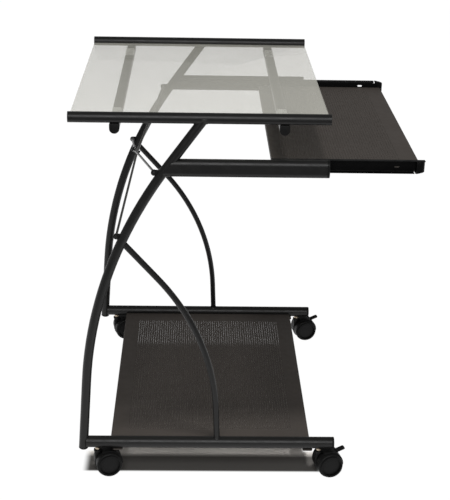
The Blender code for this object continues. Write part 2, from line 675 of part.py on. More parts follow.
def make_housing(name, empty, braked):
    housing = xz_bar(name + "_housing", hood_loop(-4, 118), HOOD_HALF_WIDTH, BLACK_PLASTIC)
    pieces = [xz_bar(name + "_web", web_loop(), 0.0042, None),
              cylinder(name + "_boss", 0.0085, 0.0057, (0, 0, 0.05435), (0, 0, 1), None, 16)]
    tools = [cylinder(name + "_stem_bore", STEM_RADIUS + GAP, 0.020, (0, 0, 0.0560), (0, 0, 1), None, 12),
             cylinder(name + "_axle_bore", 0.0028, 0.02, (TRAIL, 0, AXLE_Z), (0, 1, 0), None, 12)]
    if braked:
        tools.append(box(name + "_lever_slot", (0.0340, -0.0078, 0.0425), (0.0445, 0.0078, 0.0580), None))
    into(empty, housing)
    for piece in pieces:
        into(empty, join(housing, piece) and piece)
    for tool in tools:
        cut(housing, into(empty, cutter(tool)))
    return housing


def make_wheels(name, empty):
    axle = cylinder(name + "_axle", 0.0025, 0.042, (TRAIL, 0, AXLE_Z), (0, 1, 0), STEM_STEEL, 12)
    into(empty, axle)
    profile = [(0.0, WHEEL_OUTER - 0.0008), (0.0195, WHEEL_OUTER - 0.0008), (0.0205, WHEEL_OUTER),
               (WHEEL_RADIUS - 0.0032, WHEEL_OUTER), (WHEEL_RADIUS, WHEEL_OUTER - 0.0032),
               (WHEEL_RADIUS, WHEEL_INNER + 0.0012), (WHEEL_RADIUS - 0.0012, WHEEL_INNER),
               (0.0028, WHEEL_INNER), (0.0028, WHEEL_BORE), (0.0, WHEEL_BORE)]
    for place, sign in (("near", -1), ("far", 1)):
        turn = Matrix.Rotation(-sign * math.pi / 2, 4, "X") @ Matrix.Rotation(math.pi / WHEEL_FACETS, 4, "Z")
        spot = Matrix.Translation((TRAIL, 0, AXLE_Z)) @ turn
        into(empty, turned(name + "_" + place + "_wheel", profile, BLACK_PLASTIC, WHEEL_FACETS, spot))


def make_lever(name, empty):
    pivot_t, pivot_z = LEVER_PIVOT
    rise = math.radians(19)
    along = Vector((math.cos(rise), math.sin(rise)))
    up = Vector((-along.y, along.x))
    root = Vector((pivot_t + 0.0055, pivot_z + 0.0050))

    def plate(start, length, low, high):
        return [tuple(root + along * a + up * b) for a, b in
                ((start, low), (start + length, low), (start + length, high), (start, high))]

    lever = xz_bar(name + "_brake_lever", plate(0.0015, 0.0195, 0.0, 0.0026), 0.0070, BLACK_PLASTIC)
    arm = [(pivot_t + 0.0012, pivot_z - 0.0012), tuple(root + along * 0.004), tuple(root + along * 0.004 + up * 0.0022),
           (pivot_t - 0.0012, pivot_z + 0.0012)]
    into(empty, lever)
    for piece in (xz_bar(name + "_lever_arm", arm, 0.0033, None),
                  cylinder(name + "_lever_hub", 0.0026, 0.0066, (pivot_t, 0, pivot_z), (0, 1, 0), None, 10)):
        join(lever, piece)
        into(empty, piece)
    return lever


def make_stem(name, x, forward):
    place = (x, world_y(forward), 0)
    stem = cylinder(name + "_stem", STEM_RADIUS, 0.0310, (x, place[1], 0.0623), (0, 0, 1), STEM_STEEL, 12)
    collar = cylinder(name + "_stem_collar", 0.0075, 0.0040, (x, place[1], 0.0599), (0, 0, 1), None, 16)
    return join(stem, collar)


def make_caster(place, side):
    name = side + "_" + place + "_caster"
    x, forward = SIDES[side] * FRAME_X, STEM_FRONT if place == "front" else STEM_REAR
    empty = caster_frame(name, x, forward)
    make_stem(name, x, forward)
    make_housing(name, empty, place == "front")
    make_wheels(name, empty)
    if place == "front":
        make_lever(name, empty)


def main():
    for side in SIDES:
        leg_shape, base_shape = leg_tool(side), base_tool(side)
        make_leg(side)
        make_base_tube(side, leg_shape)
        make_brace(side, leg_shape, base_shape)
        make_top_rail(side)
        make_slide_tube(side, leg_shape)
        make_caps(side)
        make_slide(side)
    make_crossbar("rear", -CROSSBAR_FORWARD)
    make_glass(make_crossbar("front", CROSSBAR_FORWARD))
    make_shelf()
    make_cross_brace()
    make_tray()
    for place in ("front", "rear"):
        for side in SIDES:
            make_caster(place, side)


main()
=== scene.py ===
"""Visual model of a rolling computer desk with a glass top, a perforated lower shelf and a keyboard tray.

The packed CAD model gives every place and size. Each operator below makes one piece or one group of like
pieces in the same frame: metres, +Z up, the user on the -Y side, +X on the user's right."""

import json
import math
from contextlib import contextmanager

import bmesh
import bpy
from bpy.props import BoolProperty, FloatProperty, FloatVectorProperty, IntProperty, PointerProperty
from mathutils import Matrix, Vector


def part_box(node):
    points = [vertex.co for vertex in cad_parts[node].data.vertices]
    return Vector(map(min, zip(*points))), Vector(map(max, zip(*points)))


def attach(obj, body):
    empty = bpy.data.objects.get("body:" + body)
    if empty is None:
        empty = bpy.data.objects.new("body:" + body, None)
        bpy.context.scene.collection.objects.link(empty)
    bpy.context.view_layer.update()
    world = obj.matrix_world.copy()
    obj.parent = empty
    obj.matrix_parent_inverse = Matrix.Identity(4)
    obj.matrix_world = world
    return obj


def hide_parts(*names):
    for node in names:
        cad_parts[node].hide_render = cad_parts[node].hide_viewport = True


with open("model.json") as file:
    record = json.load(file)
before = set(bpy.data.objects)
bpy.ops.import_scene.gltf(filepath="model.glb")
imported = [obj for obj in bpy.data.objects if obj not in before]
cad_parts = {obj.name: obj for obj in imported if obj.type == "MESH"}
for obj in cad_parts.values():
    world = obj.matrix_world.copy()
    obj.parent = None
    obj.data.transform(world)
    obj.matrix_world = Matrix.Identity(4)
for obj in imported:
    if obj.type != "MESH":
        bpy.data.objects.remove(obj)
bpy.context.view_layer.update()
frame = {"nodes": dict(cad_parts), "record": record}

bl_info = {
    "name": "Computer Desk with Keyboard Tray",
    "version": (1, 0, 0),
    "blender": (4, 5, 0),
    "location": "View3D > Sidebar > Desk",
    "description": "Builds a rolling glass-top computer desk with a perforated shelf and a sliding tray",
    "category": "Add Mesh",
}

SIDES = {"left": -1, "right": 1}
ENDS = ("front", "rear")
UP = Vector((0, 0, 1))
LEG_RADIUS = 0.00975
BRACE_RADIUS = 0.00635
BRACE_TOP = 0.532             # height of the brace's end, inside the leg
FOOT_OVER_PLUG = 0.0005       # gap between the leg's end and its plug
PLATE_HALF = 0.0015           # half the thickness of the rod bracket plates
UPPER_HOLE_Y = 0.185          # depth of the bracket holes behind the legs
LOWER_HOLE_Y = 0.261
ROD_EYE = 0.0045              # radius of the rods' eyes in the solid model
CAP_GAP = 0.0002              # gap between a tube's end and its cap


# Settings that a user would change
COLOUR = {"subtype": "COLOR", "size": 3, "min": 0, "max": 1}
FACTOR = {"subtype": "FACTOR", "min": 0, "max": 1}
LENGTH = {"subtype": "DISTANCE", "unit": "LENGTH"}
PLACE = {"subtype": "XYZ", "unit": "LENGTH", "size": 3}
ANGLE = {"subtype": "ANGLE"}


class FinishSettings(bpy.types.PropertyGroup):
    """Colours and gloss of the desk's finishes"""
    coat: FloatVectorProperty(name="Frame coat", description="Satin black powder coat of the tubes",
        default=(0.0075, 0.0074, 0.0072), **COLOUR)
    coat_roughness: FloatProperty(name="Frame roughness", description="How satin the powder coat is",
        default=0.36, **FACTOR)
    sheet: FloatVectorProperty(name="Sheet coat", description="Warm dark grey coat of the shelf and the tray",
        default=(0.050, 0.043, 0.038), **COLOUR)
    slide: FloatVectorProperty(name="Slide coat", description="Black coat of the ball slides",
        default=(0.0012, 0.0012, 0.0013), **COLOUR)
    plastic: FloatVectorProperty(name="Plastic", description="Black moulded plastic of casters and caps",
        default=(0.0055, 0.0055, 0.0055), **COLOUR)
    glass: FloatVectorProperty(
        name="Glass veil", description="Pale smoke tint that the glass lays on what is behind",
        default=(0.62, 0.61, 0.545), **COLOUR)
    glass_cover: FloatProperty(name="Glass cover", description="How much one face of the glass hides",
        default=0.42, **FACTOR)
    vinyl: FloatVectorProperty(name="Pad vinyl", description="Clear soft vinyl of the glass pads",
        default=(0.86, 0.87, 0.84), **COLOUR)
    rod: FloatVectorProperty(name="Rod steel", description="Dark plated steel of the cross rods",
        default=(0.16, 0.16, 0.16), **COLOUR)
    brass: FloatVectorProperty(name="Stem plating", description="Yellow plating of the caster stems",
        default=(0.50, 0.42, 0.32), **COLOUR)


class TubeSettings(bpy.types.PropertyGroup):
    """Bends of the side frames, as the tubes are drawn"""
    facets: IntProperty(name="Facets", description="Sides of each round tube", min=12, max=96, default=40)
    leg_tilt: FloatProperty(name="Leg foot tilt", description="Lean of the leg at its foot",
        default=math.radians(3.6), **ANGLE)
    leg_rise: FloatProperty(name="Leg straight", description="Height of the leg's straight foot",
        default=0.147, **LENGTH)
    leg_bend: FloatProperty(name="Leg bend", description="Radius of the leg's bend", default=0.90, **LENGTH)
    leg_top_tilt: FloatProperty(name="Leg top tilt", description="Lean of the leg above its bend",
        default=math.radians(36.0), **ANGLE)
    brace_tilt: FloatProperty(name="Brace foot tilt", description="Lean of the brace at its foot",
        default=math.radians(2.3), **ANGLE)
    brace_rise: FloatProperty(name="Brace straight", description="Height of the brace's straight foot",
        default=0.077, **LENGTH)
    brace_bend: FloatProperty(name="Brace bend", description="Radius of the brace's bend",
        default=0.48, **LENGTH)
    brace_top_tilt: FloatProperty(name="Brace top tilt", description="Lean of the brace above its bend",
        default=math.radians(42.0), **ANGLE)
    weld: FloatProperty(name="Weld bead", description="Radius of the weld beads", default=0.0014, **LENGTH)


class SheetSettings(bpy.types.PropertyGroup):
    """The perforated shelf and tray"""
    pitch: FloatProperty(name="Hole pitch", description="Distance between the holes",
        min=0.004, default=0.0055, **LENGTH)
    hole: FloatProperty(name="Hole diameter", description="Diameter of each hole", default=0.0030, **LENGTH)
    metal: FloatProperty(name="Sheet metal", description="Thickness of the sheet", default=0.0011, **LENGTH)
    fold: FloatProperty(name="Fold radius", description="Outside radius of the folded edges",
        default=0.0020, **LENGTH)
    shelf_border: FloatVectorProperty(
        name="Shelf border", description="Plain border of the shelf: side, front, rear",
        default=(0.045, 0.036, 0.035), **PLACE)
    tray_border: FloatVectorProperty(
        name="Tray border", description="Plain border of the tray: side, front, rear",
        default=(0.027, 0.036, 0.022), **PLACE)


class CasterSettings(bpy.types.PropertyGroup):
    """The twin-wheel casters"""
    heading: FloatProperty(name="Heading", description="How far the casters are turned from straight forward",
        default=math.radians(13.5), **ANGLE)
    trail: FloatProperty(name="Trail", description="Distance from the stem to the axle",
        default=0.0215, **LENGTH)
    wheel: FloatProperty(name="Wheel radius", description="Radius of each wheel", default=0.0275, **LENGTH)
    hood: FloatProperty(name="Hood radius", description="Outside radius of the hood over the wheels",
        default=0.0297, **LENGTH)
    ridged: BoolProperty(name="Ridged levers", description="Grip ridges across the brake levers", default=True)


class StageSettings(bpy.types.PropertyGroup):
    """Camera, floor and soft studio light"""
    lens: FloatProperty(name="Lens", description="Focal length on a 36 mm frame, in millimetres",
        subtype="DISTANCE_CAMERA", default=90.5)
    eye: FloatVectorProperty(name="Eye point", description="Where the camera stands",
        default=(-2.6857, 0.1050, 1.4564), **PLACE)
    yaw: FloatProperty(name="Yaw", description="Turn of the view from straight across the desk",
        default=0.0266, **ANGLE)
    pitch: FloatProperty(name="Pitch", description="How far the view looks down", default=0.3800, **ANGLE)
    roll: FloatProperty(name="Roll", description="Tilt of the camera about its view", default=0.0193, **ANGLE)
    key: FloatProperty(name="Key light", description="Strength of the light from above the camera's side",
        default=2.1)
    softbox: FloatProperty(name="Softbox", description="Power of the large soft light",
        subtype="POWER", unit="POWER", default=38.0)
    sky: FloatProperty(name="Room light", description="Strength of the even light of the room", default=0.20)
    # The floor glow is the floor's own even emission outside the patch under the desk, not light falling on it
    glow: FloatProperty(name="Floor glow", description="How brightly the floor is lit from below", default=1.0)
    floor: FloatVectorProperty(name="Floor", description="Colour of the plain floor",
        default=(0.88, 0.84, 0.79), **COLOUR)


# Modelling by hand, step by step
def deselect():
    if bpy.context.mode != "OBJECT":
        bpy.ops.object.mode_set(mode="OBJECT")
    bpy.ops.object.select_all(action="DESELECT")


def only(piece):
    deselect()
    piece.select_set(True)
    bpy.context.view_layer.objects.active = piece


@contextmanager
def editing(piece):
    """Edit mode on one piece, with nothing selected at first."""
    only(piece)
    bpy.ops.object.mode_set(mode="EDIT")
    bpy.ops.mesh.select_all(action="DESELECT")
    yield
    bpy.ops.object.mode_set(mode="OBJECT")


def choose(piece, kind, test):
    """Selects in edit mode the verts, edges or faces for which the test holds, and says how many."""
    bpy.ops.mesh.select_mode(type={"verts": "VERT", "edges": "EDGE", "faces": "FACE"}[kind])
    bpy.ops.mesh.select_all(action="DESELECT")
    mesh = bmesh.from_edit_mesh(piece.data)
    mesh.normal_update()
    chosen = [item for item in getattr(mesh, kind) if test(item)]
    for item in chosen:
        item.select_set(True)
    mesh.select_flush_mode()
    bmesh.update_edit_mesh(piece.data)
    return len(chosen)


def bevel(width, segments):
    """Rounds what is chosen."""
    bpy.ops.mesh.bevel(offset=width, segments=segments, affect="EDGES")


def trim(place, normal, fill=True):
    """Cuts away the part of the edited piece that lies past a plane."""
    bpy.ops.mesh.select_all(action="SELECT")
    bpy.ops.mesh.bisect(plane_co=place, plane_no=normal, clear_outer=True, use_fill=fill)


def middle(item):
    """Middle of an edge or a face."""
    return sum((v.co for v in item.verts), Vector()) / len(item.verts)


def runs(edge, axis):
    """True for an edge that lies along an axis."""
    run = edge.verts[1].co - edge.verts[0].co
    return abs(run[axis]) > 0.99 * run.length


def place_in_mesh(piece):
    only(piece)
    bpy.ops.object.transform_apply(location=True, rotation=True, scale=True)
    return piece


def named(name):
    """The primitive just added, named, with its place moved into its mesh."""
    piece = bpy.context.active_object
    piece.name = name
    piece.data.name = name
    return place_in_mesh(piece)


def block(name, low, high):
    deselect()
    low, high = Vector(low), Vector(high)
    bpy.ops.mesh.primitive_cube_add(size=1.0, location=(low + high) / 2, scale=high - low)
    return named(name)


def pillar(name, radius, start, end, facets=32, capped=True):
    """A cylinder between two points."""
    deselect()
    run = Vector(end) - Vector(start)
    turn = run.to_track_quat("Z", "Y").to_euler()
    bpy.ops.mesh.primitive_cylinder_add(vertices=facets, radius=radius, depth=run.length,
                                        end_fill_type="NGON" if capped else "NOTHING",
                                        location=(Vector(start) + Vector(end)) / 2, rotation=turn)
    return named(name)


def ring(name, radius, thickness, centre, tilt=0.0, scale=(1, 1, 1)):
    deselect()
    bpy.ops.mesh.primitive_torus_add(major_segments=40, minor_segments=8, major_radius=radius,
                                     minor_radius=thickness, location=centre, rotation=(tilt, 0, 0))
    bpy.context.active_object.scale = scale
    return named(name)


def modify(piece, kind, **settings):
    """Adds a modifier and applies it."""
    only(piece)
    step = piece.modifiers.new(kind.lower(), kind)
    for key, value in settings.items():
        setattr(step, key, value)
    bpy.ops.object.modifier_apply(modifier=step.name)
    return piece


def wall(piece, thickness):
    return modify(piece, "SOLIDIFY", thickness=thickness, offset=-1.0, use_even_offset=True)


def soften(piece, width, segments=2, angle=35.0):
    """Rounds every sharp edge."""
    return modify(piece, "BEVEL", width=width, segments=segments, limit_method="ANGLE",
                  angle_limit=math.radians(angle), use_clamp_overlap=True, harden_normals=False)


def carve(piece, *tools, operation="DIFFERENCE"):
    for tool in tools:
        modify(piece, "BOOLEAN", operation=operation, solver="EXACT", object=tool)
        bpy.data.objects.remove(tool)
    return piece


def merge(*pieces):
    """Joins pieces into the first one."""
    only(pieces[0])
    for piece in pieces[1:]:
        piece.select_set(True)
    bpy.context.view_layer.objects.active = pieces[0]
    bpy.ops.object.join()
    return pieces[0]


def copy_of(piece, name, matrix=None):
    """A copy with its own mesh, moved, turned or mirrored by a matrix."""
    twin = piece.copy()
    twin.data = piece.data.copy()
    twin.name = twin.data.name = name
    bpy.context.scene.collection.objects.link(twin)
    if matrix is not None:
        twin.data.transform(matrix)
        if matrix.determinant() < 0:
            twin.data.flip_normals()
    return twin


def outward(piece):
    with editing(piece):
        bpy.ops.mesh.select_all(action="SELECT")
        bpy.ops.mesh.remove_doubles(threshold=0.00001)
        bpy.ops.mesh.normals_make_consistent(inside=False)
    return piece


def hand_over(piece, slot, body="frame", stands_for=(), smooth=40.0):
    """Finishes a piece: shading, material, and the CAD body and nodes it belongs to."""
    place_in_mesh(piece)
    if smooth:
        bpy.ops.object.shade_smooth_by_angle(angle=math.radians(smooth))
    piece.data.materials.clear()
    piece.data.materials.append(finish(slot))
    if stands_for:
        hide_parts(*stands_for)
    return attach(piece, body)


def centre_of(node):
    low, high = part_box(node)
    return (low + high) / 2


# Finishes
def shader(name, **inputs):
    """A new material, its node tree and its Principled shader with some inputs set."""
    made = bpy.data.materials.new(name)
    made.use_nodes = True
    tree = made.node_tree
    principled = tree.nodes["Principled BSDF"]
    for socket, value in inputs.items():
        principled.inputs[socket.replace("_", " ")].default_value = value
    return made, tree, principled


def feed(tree, principled, **sources):
    """Links outputs to the shader's inputs, named with underscores for spaces."""
    for socket, source in sources.items():
        tree.links.new(source, principled.inputs[socket.replace("_", " ")])


def varied(tree, source, colour, low, high):
    """A colour that wanders between two strengths."""
    return tint(tree, source, scaled(colour, low), scaled(colour, high))


def object_place(tree, stretch=(1, 1, 1)):
    """Object coordinates, stretched along the axes."""
    place = tree.nodes.new("ShaderNodeTexCoord")
    mapping = tree.nodes.new("ShaderNodeMapping")
    mapping.inputs["Scale"].default_value = stretch
    tree.links.new(place.outputs["Object"], mapping.inputs["Vector"])
    return mapping.outputs["Vector"]


def noise(tree, place, scale, detail=3.0, rough=0.5):
    made = tree.nodes.new("ShaderNodeTexNoise")
    made.inputs["Scale"].default_value = scale
    made.inputs["Detail"].default_value = detail
    made.inputs["Roughness"].default_value = rough
    tree.links.new(place, made.inputs["Vector"])
    return made.outputs["Fac"]


def ramp(tree, source, low, high, span=(0.3, 0.7)):
    """Maps a value's span onto a range."""
    made = tree.nodes.new("ShaderNodeMapRange")
    made.inputs["From Min"].default_value, made.inputs["From Max"].default_value = span
    made.inputs["To Min"].default_value, made.inputs["To Max"].default_value = low, high
    tree.links.new(source, made.inputs["Value"])
    return made.outputs["Result"]


def tint(tree, source, dark, light):
    """A colour between two, by a factor."""
    made = tree.nodes.new("ShaderNodeMix")
    made.data_type = "RGBA"
    made.inputs["A"].default_value = (*dark, 1)
    made.inputs["B"].default_value = (*light, 1)
    tree.links.new(source, made.inputs["Factor"])
    return made.outputs["Result"]


def bump(tree, source, principled, height, strength=1.0):
    made = tree.nodes.new("ShaderNodeBump")
    made.inputs["Distance"].default_value = height
    made.inputs["Strength"].default_value = strength
    tree.links.new(source, made.inputs["Height"])
    tree.links.new(made.outputs["Normal"], principled.inputs["Normal"])


def scaled(colour, factor):
    return tuple(min(channel * factor, 1.0) for channel in colour)


def coat(name, colour, roughness, grain=1400.0, height=0.00004, sheen=0.3):
    """Powder coat: a fine orange peel, a little uneven in gloss and shade."""
    made, tree, principled = shader(name, IOR=1.5, Specular_IOR_Level=sheen)
    place = object_place(tree)
    cloud = noise(tree, place, 9.0, 4.0)
    feed(tree, principled, Base_Color=varied(tree, cloud, colour, 0.86, 1.14),
         Roughness=ramp(tree, noise(tree, place, 60.0), roughness - 0.05, roughness + 0.06))
    bump(tree, noise(tree, place, grain, 2.0), principled, height, 0.5)
    return made


def plated(name, colour, roughness, stretch, tone=0.25):
    """Plated metal with fine drawing lines along its length."""
    made, tree, principled = shader(name, Metallic=1.0)
    place = object_place(tree, stretch)
    lines = noise(tree, place, 900.0, 3.0, 0.6)
    patches = noise(tree, object_place(tree), 70.0, 3.0)
    feed(tree, principled, Base_Color=varied(tree, patches, colour, 1 - tone, 1 + tone),
         Roughness=ramp(tree, lines, roughness - 0.08, roughness + 0.10))
    bump(tree, lines, principled, 0.00002, 0.4)
    return made


def moulded(name, colour, roughness=0.46):
    """Moulded plastic with a fine spark-eroded grain."""
    made, tree, principled = shader(name, IOR=1.49, Specular_IOR_Level=0.15)
    place = object_place(tree)
    cells = tree.nodes.new("ShaderNodeTexVoronoi")
    cells.inputs["Scale"].default_value = 1900.0
    tree.links.new(place, cells.inputs["Vector"])
    cloud = noise(tree, place, 45.0)
    feed(tree, principled, Base_Color=varied(tree, cloud, colour, 0.8, 1.25),
         Roughness=ramp(tree, cloud, roughness - 0.05, roughness + 0.08))
    bump(tree, cells.outputs["Distance"], principled, 0.00003, 0.4)
    return made


def smoked_glass(name, colour, cover):
    """Lightly smoked glass, laid over what is behind it as a pale veil, with a faint wipe in its gloss."""
    made, tree, principled = shader(name, Alpha=cover, IOR=1.5)
    wipe = noise(tree, object_place(tree, (1, 6, 1)), 5.0, 4.0)
    feed(tree, principled, Base_Color=varied(tree, wipe, colour, 0.97, 1.03),
         Roughness=ramp(tree, wipe, 0.03, 0.09))
    made.surface_render_method = "BLENDED"
    return made


def clear_vinyl(name, colour):
    made, tree, principled = shader(name, Alpha=0.85, IOR=1.45)
    cloud = noise(tree, object_place(tree), 220.0, 2.0)
    feed(tree, principled, Base_Color=varied(tree, cloud, colour, 0.85, 1.0),
         Roughness=ramp(tree, cloud, 0.18, 0.30))
    made.surface_render_method = "BLENDED"
    return made


MAKERS = {
    "frame_paint": lambda f: coat("satin black coat", f.coat, f.coat_roughness),
    "shelf_paint": lambda f: coat("warm grey sheet coat", f.sheet, 0.55, 1700.0),
    "slide_steel": lambda f: coat("black slide coat", f.slide, 0.40, 2600.0, 0.00002, 0.12),
    "black_plastic": lambda f: moulded("black moulded plastic", f.plastic),
    "rod_steel": lambda f: plated("dark plated steel", f.rod, 0.34, (0.03, 1, 1)),
    "stem_steel": lambda f: plated("yellow plated steel", f.brass, 0.3, (1, 1, 0.05)),
    "clear_pad": lambda f: clear_vinyl("clear vinyl", f.vinyl),
    "glass": lambda f: smoked_glass("smoked glass", f.glass, f.glass_cover),
}
MADE = {}


def finish(slot):
    """The material of one of the record's slots, made when it is first asked for."""
    if slot not in MADE:
        MADE[slot] = MAKERS[slot](bpy.context.scene.desk_finish)
    return MADE[slot]


def refinish(*nodes):
    """Gives CAD pieces whose shape is right their detailed finish."""
    slots = {entry["node"]: entry["material_slot"] for entry in frame["record"]["subparts"]}
    for node in nodes:
        piece = frame["nodes"][node]
        for place in piece.material_slots:
            place.material = finish(slots[node])


# Side frames
def bent_tube(name, foot, tilt, rise, bend, top_tilt, top_z, lean, radius, facets):
    """A closed tube that rises straight, bends through one arc and ends straight at a height.

    lean is 1 where it leans towards the user as it rises and -1 where it leans away."""
    deselect()
    bpy.ops.mesh.primitive_circle_add(vertices=facets, radius=radius, fill_type="NGON",
                                      location=foot, rotation=(lean * tilt, 0, 0))
    tube = named(name)
    first = Vector((0, -lean * math.sin(tilt), math.cos(tilt)))
    last = Vector((0, -lean * math.sin(top_tilt), math.cos(top_tilt)))
    start = Vector(foot) + first * (rise / math.cos(tilt))
    centre = start + Vector((0, -lean * math.cos(tilt), -math.sin(tilt))) * bend
    end = centre - Vector((0, -lean * math.cos(top_tilt), -math.sin(top_tilt))) * bend
    with editing(tube):
        bpy.ops.mesh.select_all(action="SELECT")
        bpy.ops.mesh.extrude_region_move(TRANSFORM_OT_translate={"value": start - Vector(foot)})
        bpy.ops.mesh.spin(steps=22, angle=-lean * (top_tilt - tilt), center=centre, axis=(1, 0, 0))
        bpy.ops.mesh.extrude_region_move(TRANSFORM_OT_translate={"value": last * ((top_z - end.z) / last.z)})
    return outward(tube)


def leg_point(settings, foot, height):
    """Where the leg's centre line is at a height: its place and its tilt."""
    rise_top = foot.z + settings.leg_rise
    start_y = foot.y - math.tan(settings.leg_tilt) * settings.leg_rise
    centre_y = start_y - settings.leg_bend * math.cos(settings.leg_tilt)
    centre_z = rise_top - settings.leg_bend * math.sin(settings.leg_tilt)
    if height <= rise_top:
        lean = math.tan(settings.leg_tilt) * (height - foot.z)
        return Vector((foot.x, foot.y - lean, height)), settings.leg_tilt
    end_z = centre_z + settings.leg_bend * math.sin(settings.leg_top_tilt)
    if height <= end_z:
        tilt = math.asin((height - centre_z) / settings.leg_bend)
        return Vector((foot.x, centre_y + settings.leg_bend * math.cos(tilt), height)), tilt
    end_y = centre_y + settings.leg_bend * math.cos(settings.leg_top_tilt)
    lean = math.tan(settings.leg_top_tilt) * (height - end_z)
    return Vector((foot.x, end_y - lean, height)), settings.leg_top_tilt


def leg_foot(side):
    """Middle of the leg's foot, on the height of the base tube's centre line."""
    settings = bpy.context.scene.desk_tubes
    plug = centre_of(side + "_leg_foot")
    base = centre_of(side + "_base_tube")
    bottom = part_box(side + "_base_tube")[0].z
    return Vector((base.x, plug.y - math.tan(settings.leg_tilt) * (base.z - bottom), base.z))


def rod_ends():
    """Holes of the rod brackets, upper then lower, at the heights of the rods' own boxes."""
    low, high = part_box("cross_rod_a")
    return Vector((0, UPPER_HOLE_Y, high.z - ROD_EYE)), Vector((0, LOWER_HOLE_Y, low.z + ROD_EYE))


def bolt_head(name, centre, axis, radius, height, facets=6):
    """A chamfered hexagon head, or a round one with more facets."""
    axis = Vector(axis).normalized()
    head = pillar(name, radius, centre, Vector(centre) + axis * height, facets)
    return soften(head, height * 0.22, 2, 50)


def screw(name, centre, axis, radius=0.0036, height=0.0018):
    """A pan head with a cross recess, standing on a surface."""
    axis = Vector(axis).normalized()
    head = pillar(name, radius, centre, Vector(centre) + axis * height, 24)
    soften(head, height * 0.55, 4, 50)
    side = axis.orthogonal().normalized()
    for along in (side, axis.cross(side)):
        top = Vector(centre) + axis * (height * 0.45)
        slot = block(name + "_slot", (-radius * 0.52, -0.00045, 0), (radius * 0.52, 0.00045, height))
        frame_axes = Matrix((along, axis.cross(along), axis)).transposed().to_4x4()
        slot.data.transform(Matrix.Translation(top) @ frame_axes)
        carve(head, slot)
    return head


class DESK_OT_side_legs(bpy.types.Operator):
    """Bent leg tubes with their rod brackets, weld beads and domed foot plugs"""
    bl_idname = "desk.side_legs"
    bl_label = "Side Legs"
    over_cut = 0.012              # how far the tube is drawn past its cut
    plate_round = 0.0058
    rim_height = 0.0014
    plate_reach = 0.006
    nut_radius = 0.0040
    nut_height = 0.0030

    def execute(self, context):
        settings = context.scene.desk_tubes
        for side in SIDES:
            base = leg_foot(side)
            rail_low, rail_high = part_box(side + "_top_rail")
            rail_z, rail_radius = (rail_low.z + rail_high.z) / 2, (rail_high.z - rail_low.z) / 2
            foot, tilt = leg_point(settings, base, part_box(side + "_base_tube")[0].z)
            top, top_tilt = leg_point(settings, base, rail_z + self.over_cut)
            tube = bent_tube(side + "_leg_tube", foot, tilt, settings.leg_rise + base.z - foot.z,
                             settings.leg_bend, settings.leg_top_tilt, top.z, 1, LEG_RADIUS, settings.facets)
            with editing(tube):
                trim((0, 0, rail_z), (0, 0, 1))
            parts = [tube]
            crown = ring(side + "_crown_weld", LEG_RADIUS + settings.weld * 0.3, settings.weld, (0, 0, 0),
                         scale=(1, 1 / math.cos(top_tilt), 1))
            for vertex in crown.data.vertices:
                drop = math.sqrt(rail_radius ** 2 - min(abs(vertex.co.x), rail_radius) ** 2)
                vertex.co.z -= drop
                vertex.co.y += drop * math.tan(top_tilt)
            crown.data.transform(Matrix.Translation(leg_point(settings, base, rail_z)[0]))
            parts.append(crown)
            for place, hole in zip(("upper", "lower"), rod_ends()):
                at, _ = leg_point(settings, base, hole.z)
                plate = block(side + "_" + place + "_plate",
                              (base.x - PLATE_HALF, at.y + LEG_RADIUS * 0.7, hole.z - self.plate_reach),
                              (base.x + PLATE_HALF, hole.y + self.plate_reach, hole.z + self.plate_reach))
                with editing(plate):
                    choose(plate, "edges", lambda e: runs(e, 0) and middle(e).y > hole.y)
                    bevel(self.plate_round, 8)
                parts.append(soften(plate, 0.0004, 1))
                nut_at = (base.x + SIDES[side] * PLATE_HALF, hole.y, hole.z)
                parts.append(bolt_head(side + "_" + place + "_nut", nut_at, (SIDES[side], 0, 0),
                                       self.nut_radius, self.nut_height))
            leg = merge(*parts)
            leg.name = side + "_leg_bent"
            hand_over(leg, "frame_paint", "frame", [side + "_leg"])
            self.foot_plug(side, foot, tilt)
        return {"FINISHED"}

    def foot_plug(self, side, foot, tilt):
        deselect()
        bpy.ops.mesh.primitive_uv_sphere_add(segments=32, ring_count=16, radius=LEG_RADIUS, location=(0, 0, 0))
        dome = named(side + "_foot_dome")
        with editing(dome):
            trim((0, 0, 0), (0, 0, 1))
            bpy.ops.mesh.select_all(action="SELECT")
            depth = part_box(side + "_base_tube")[0].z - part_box(side + "_leg_foot")[0].z
            bpy.ops.transform.resize(value=(1, 1, depth / LEG_RADIUS), center_override=(0, 0, 0))
        rim = pillar(side + "_foot_rim", LEG_RADIUS + 0.0003, (0, 0, -self.rim_height), (0, 0, 0), 32)
        soften(rim, 0.0004, 2)
        plug = merge(dome, rim)
        plug.data.transform(Matrix.Translation(foot - UP * FOOT_OVER_PLUG) @ Matrix.Rotation(tilt, 4, "X"))
        hand_over(plug, "black_plastic", "frame", [side + "_leg_foot"])


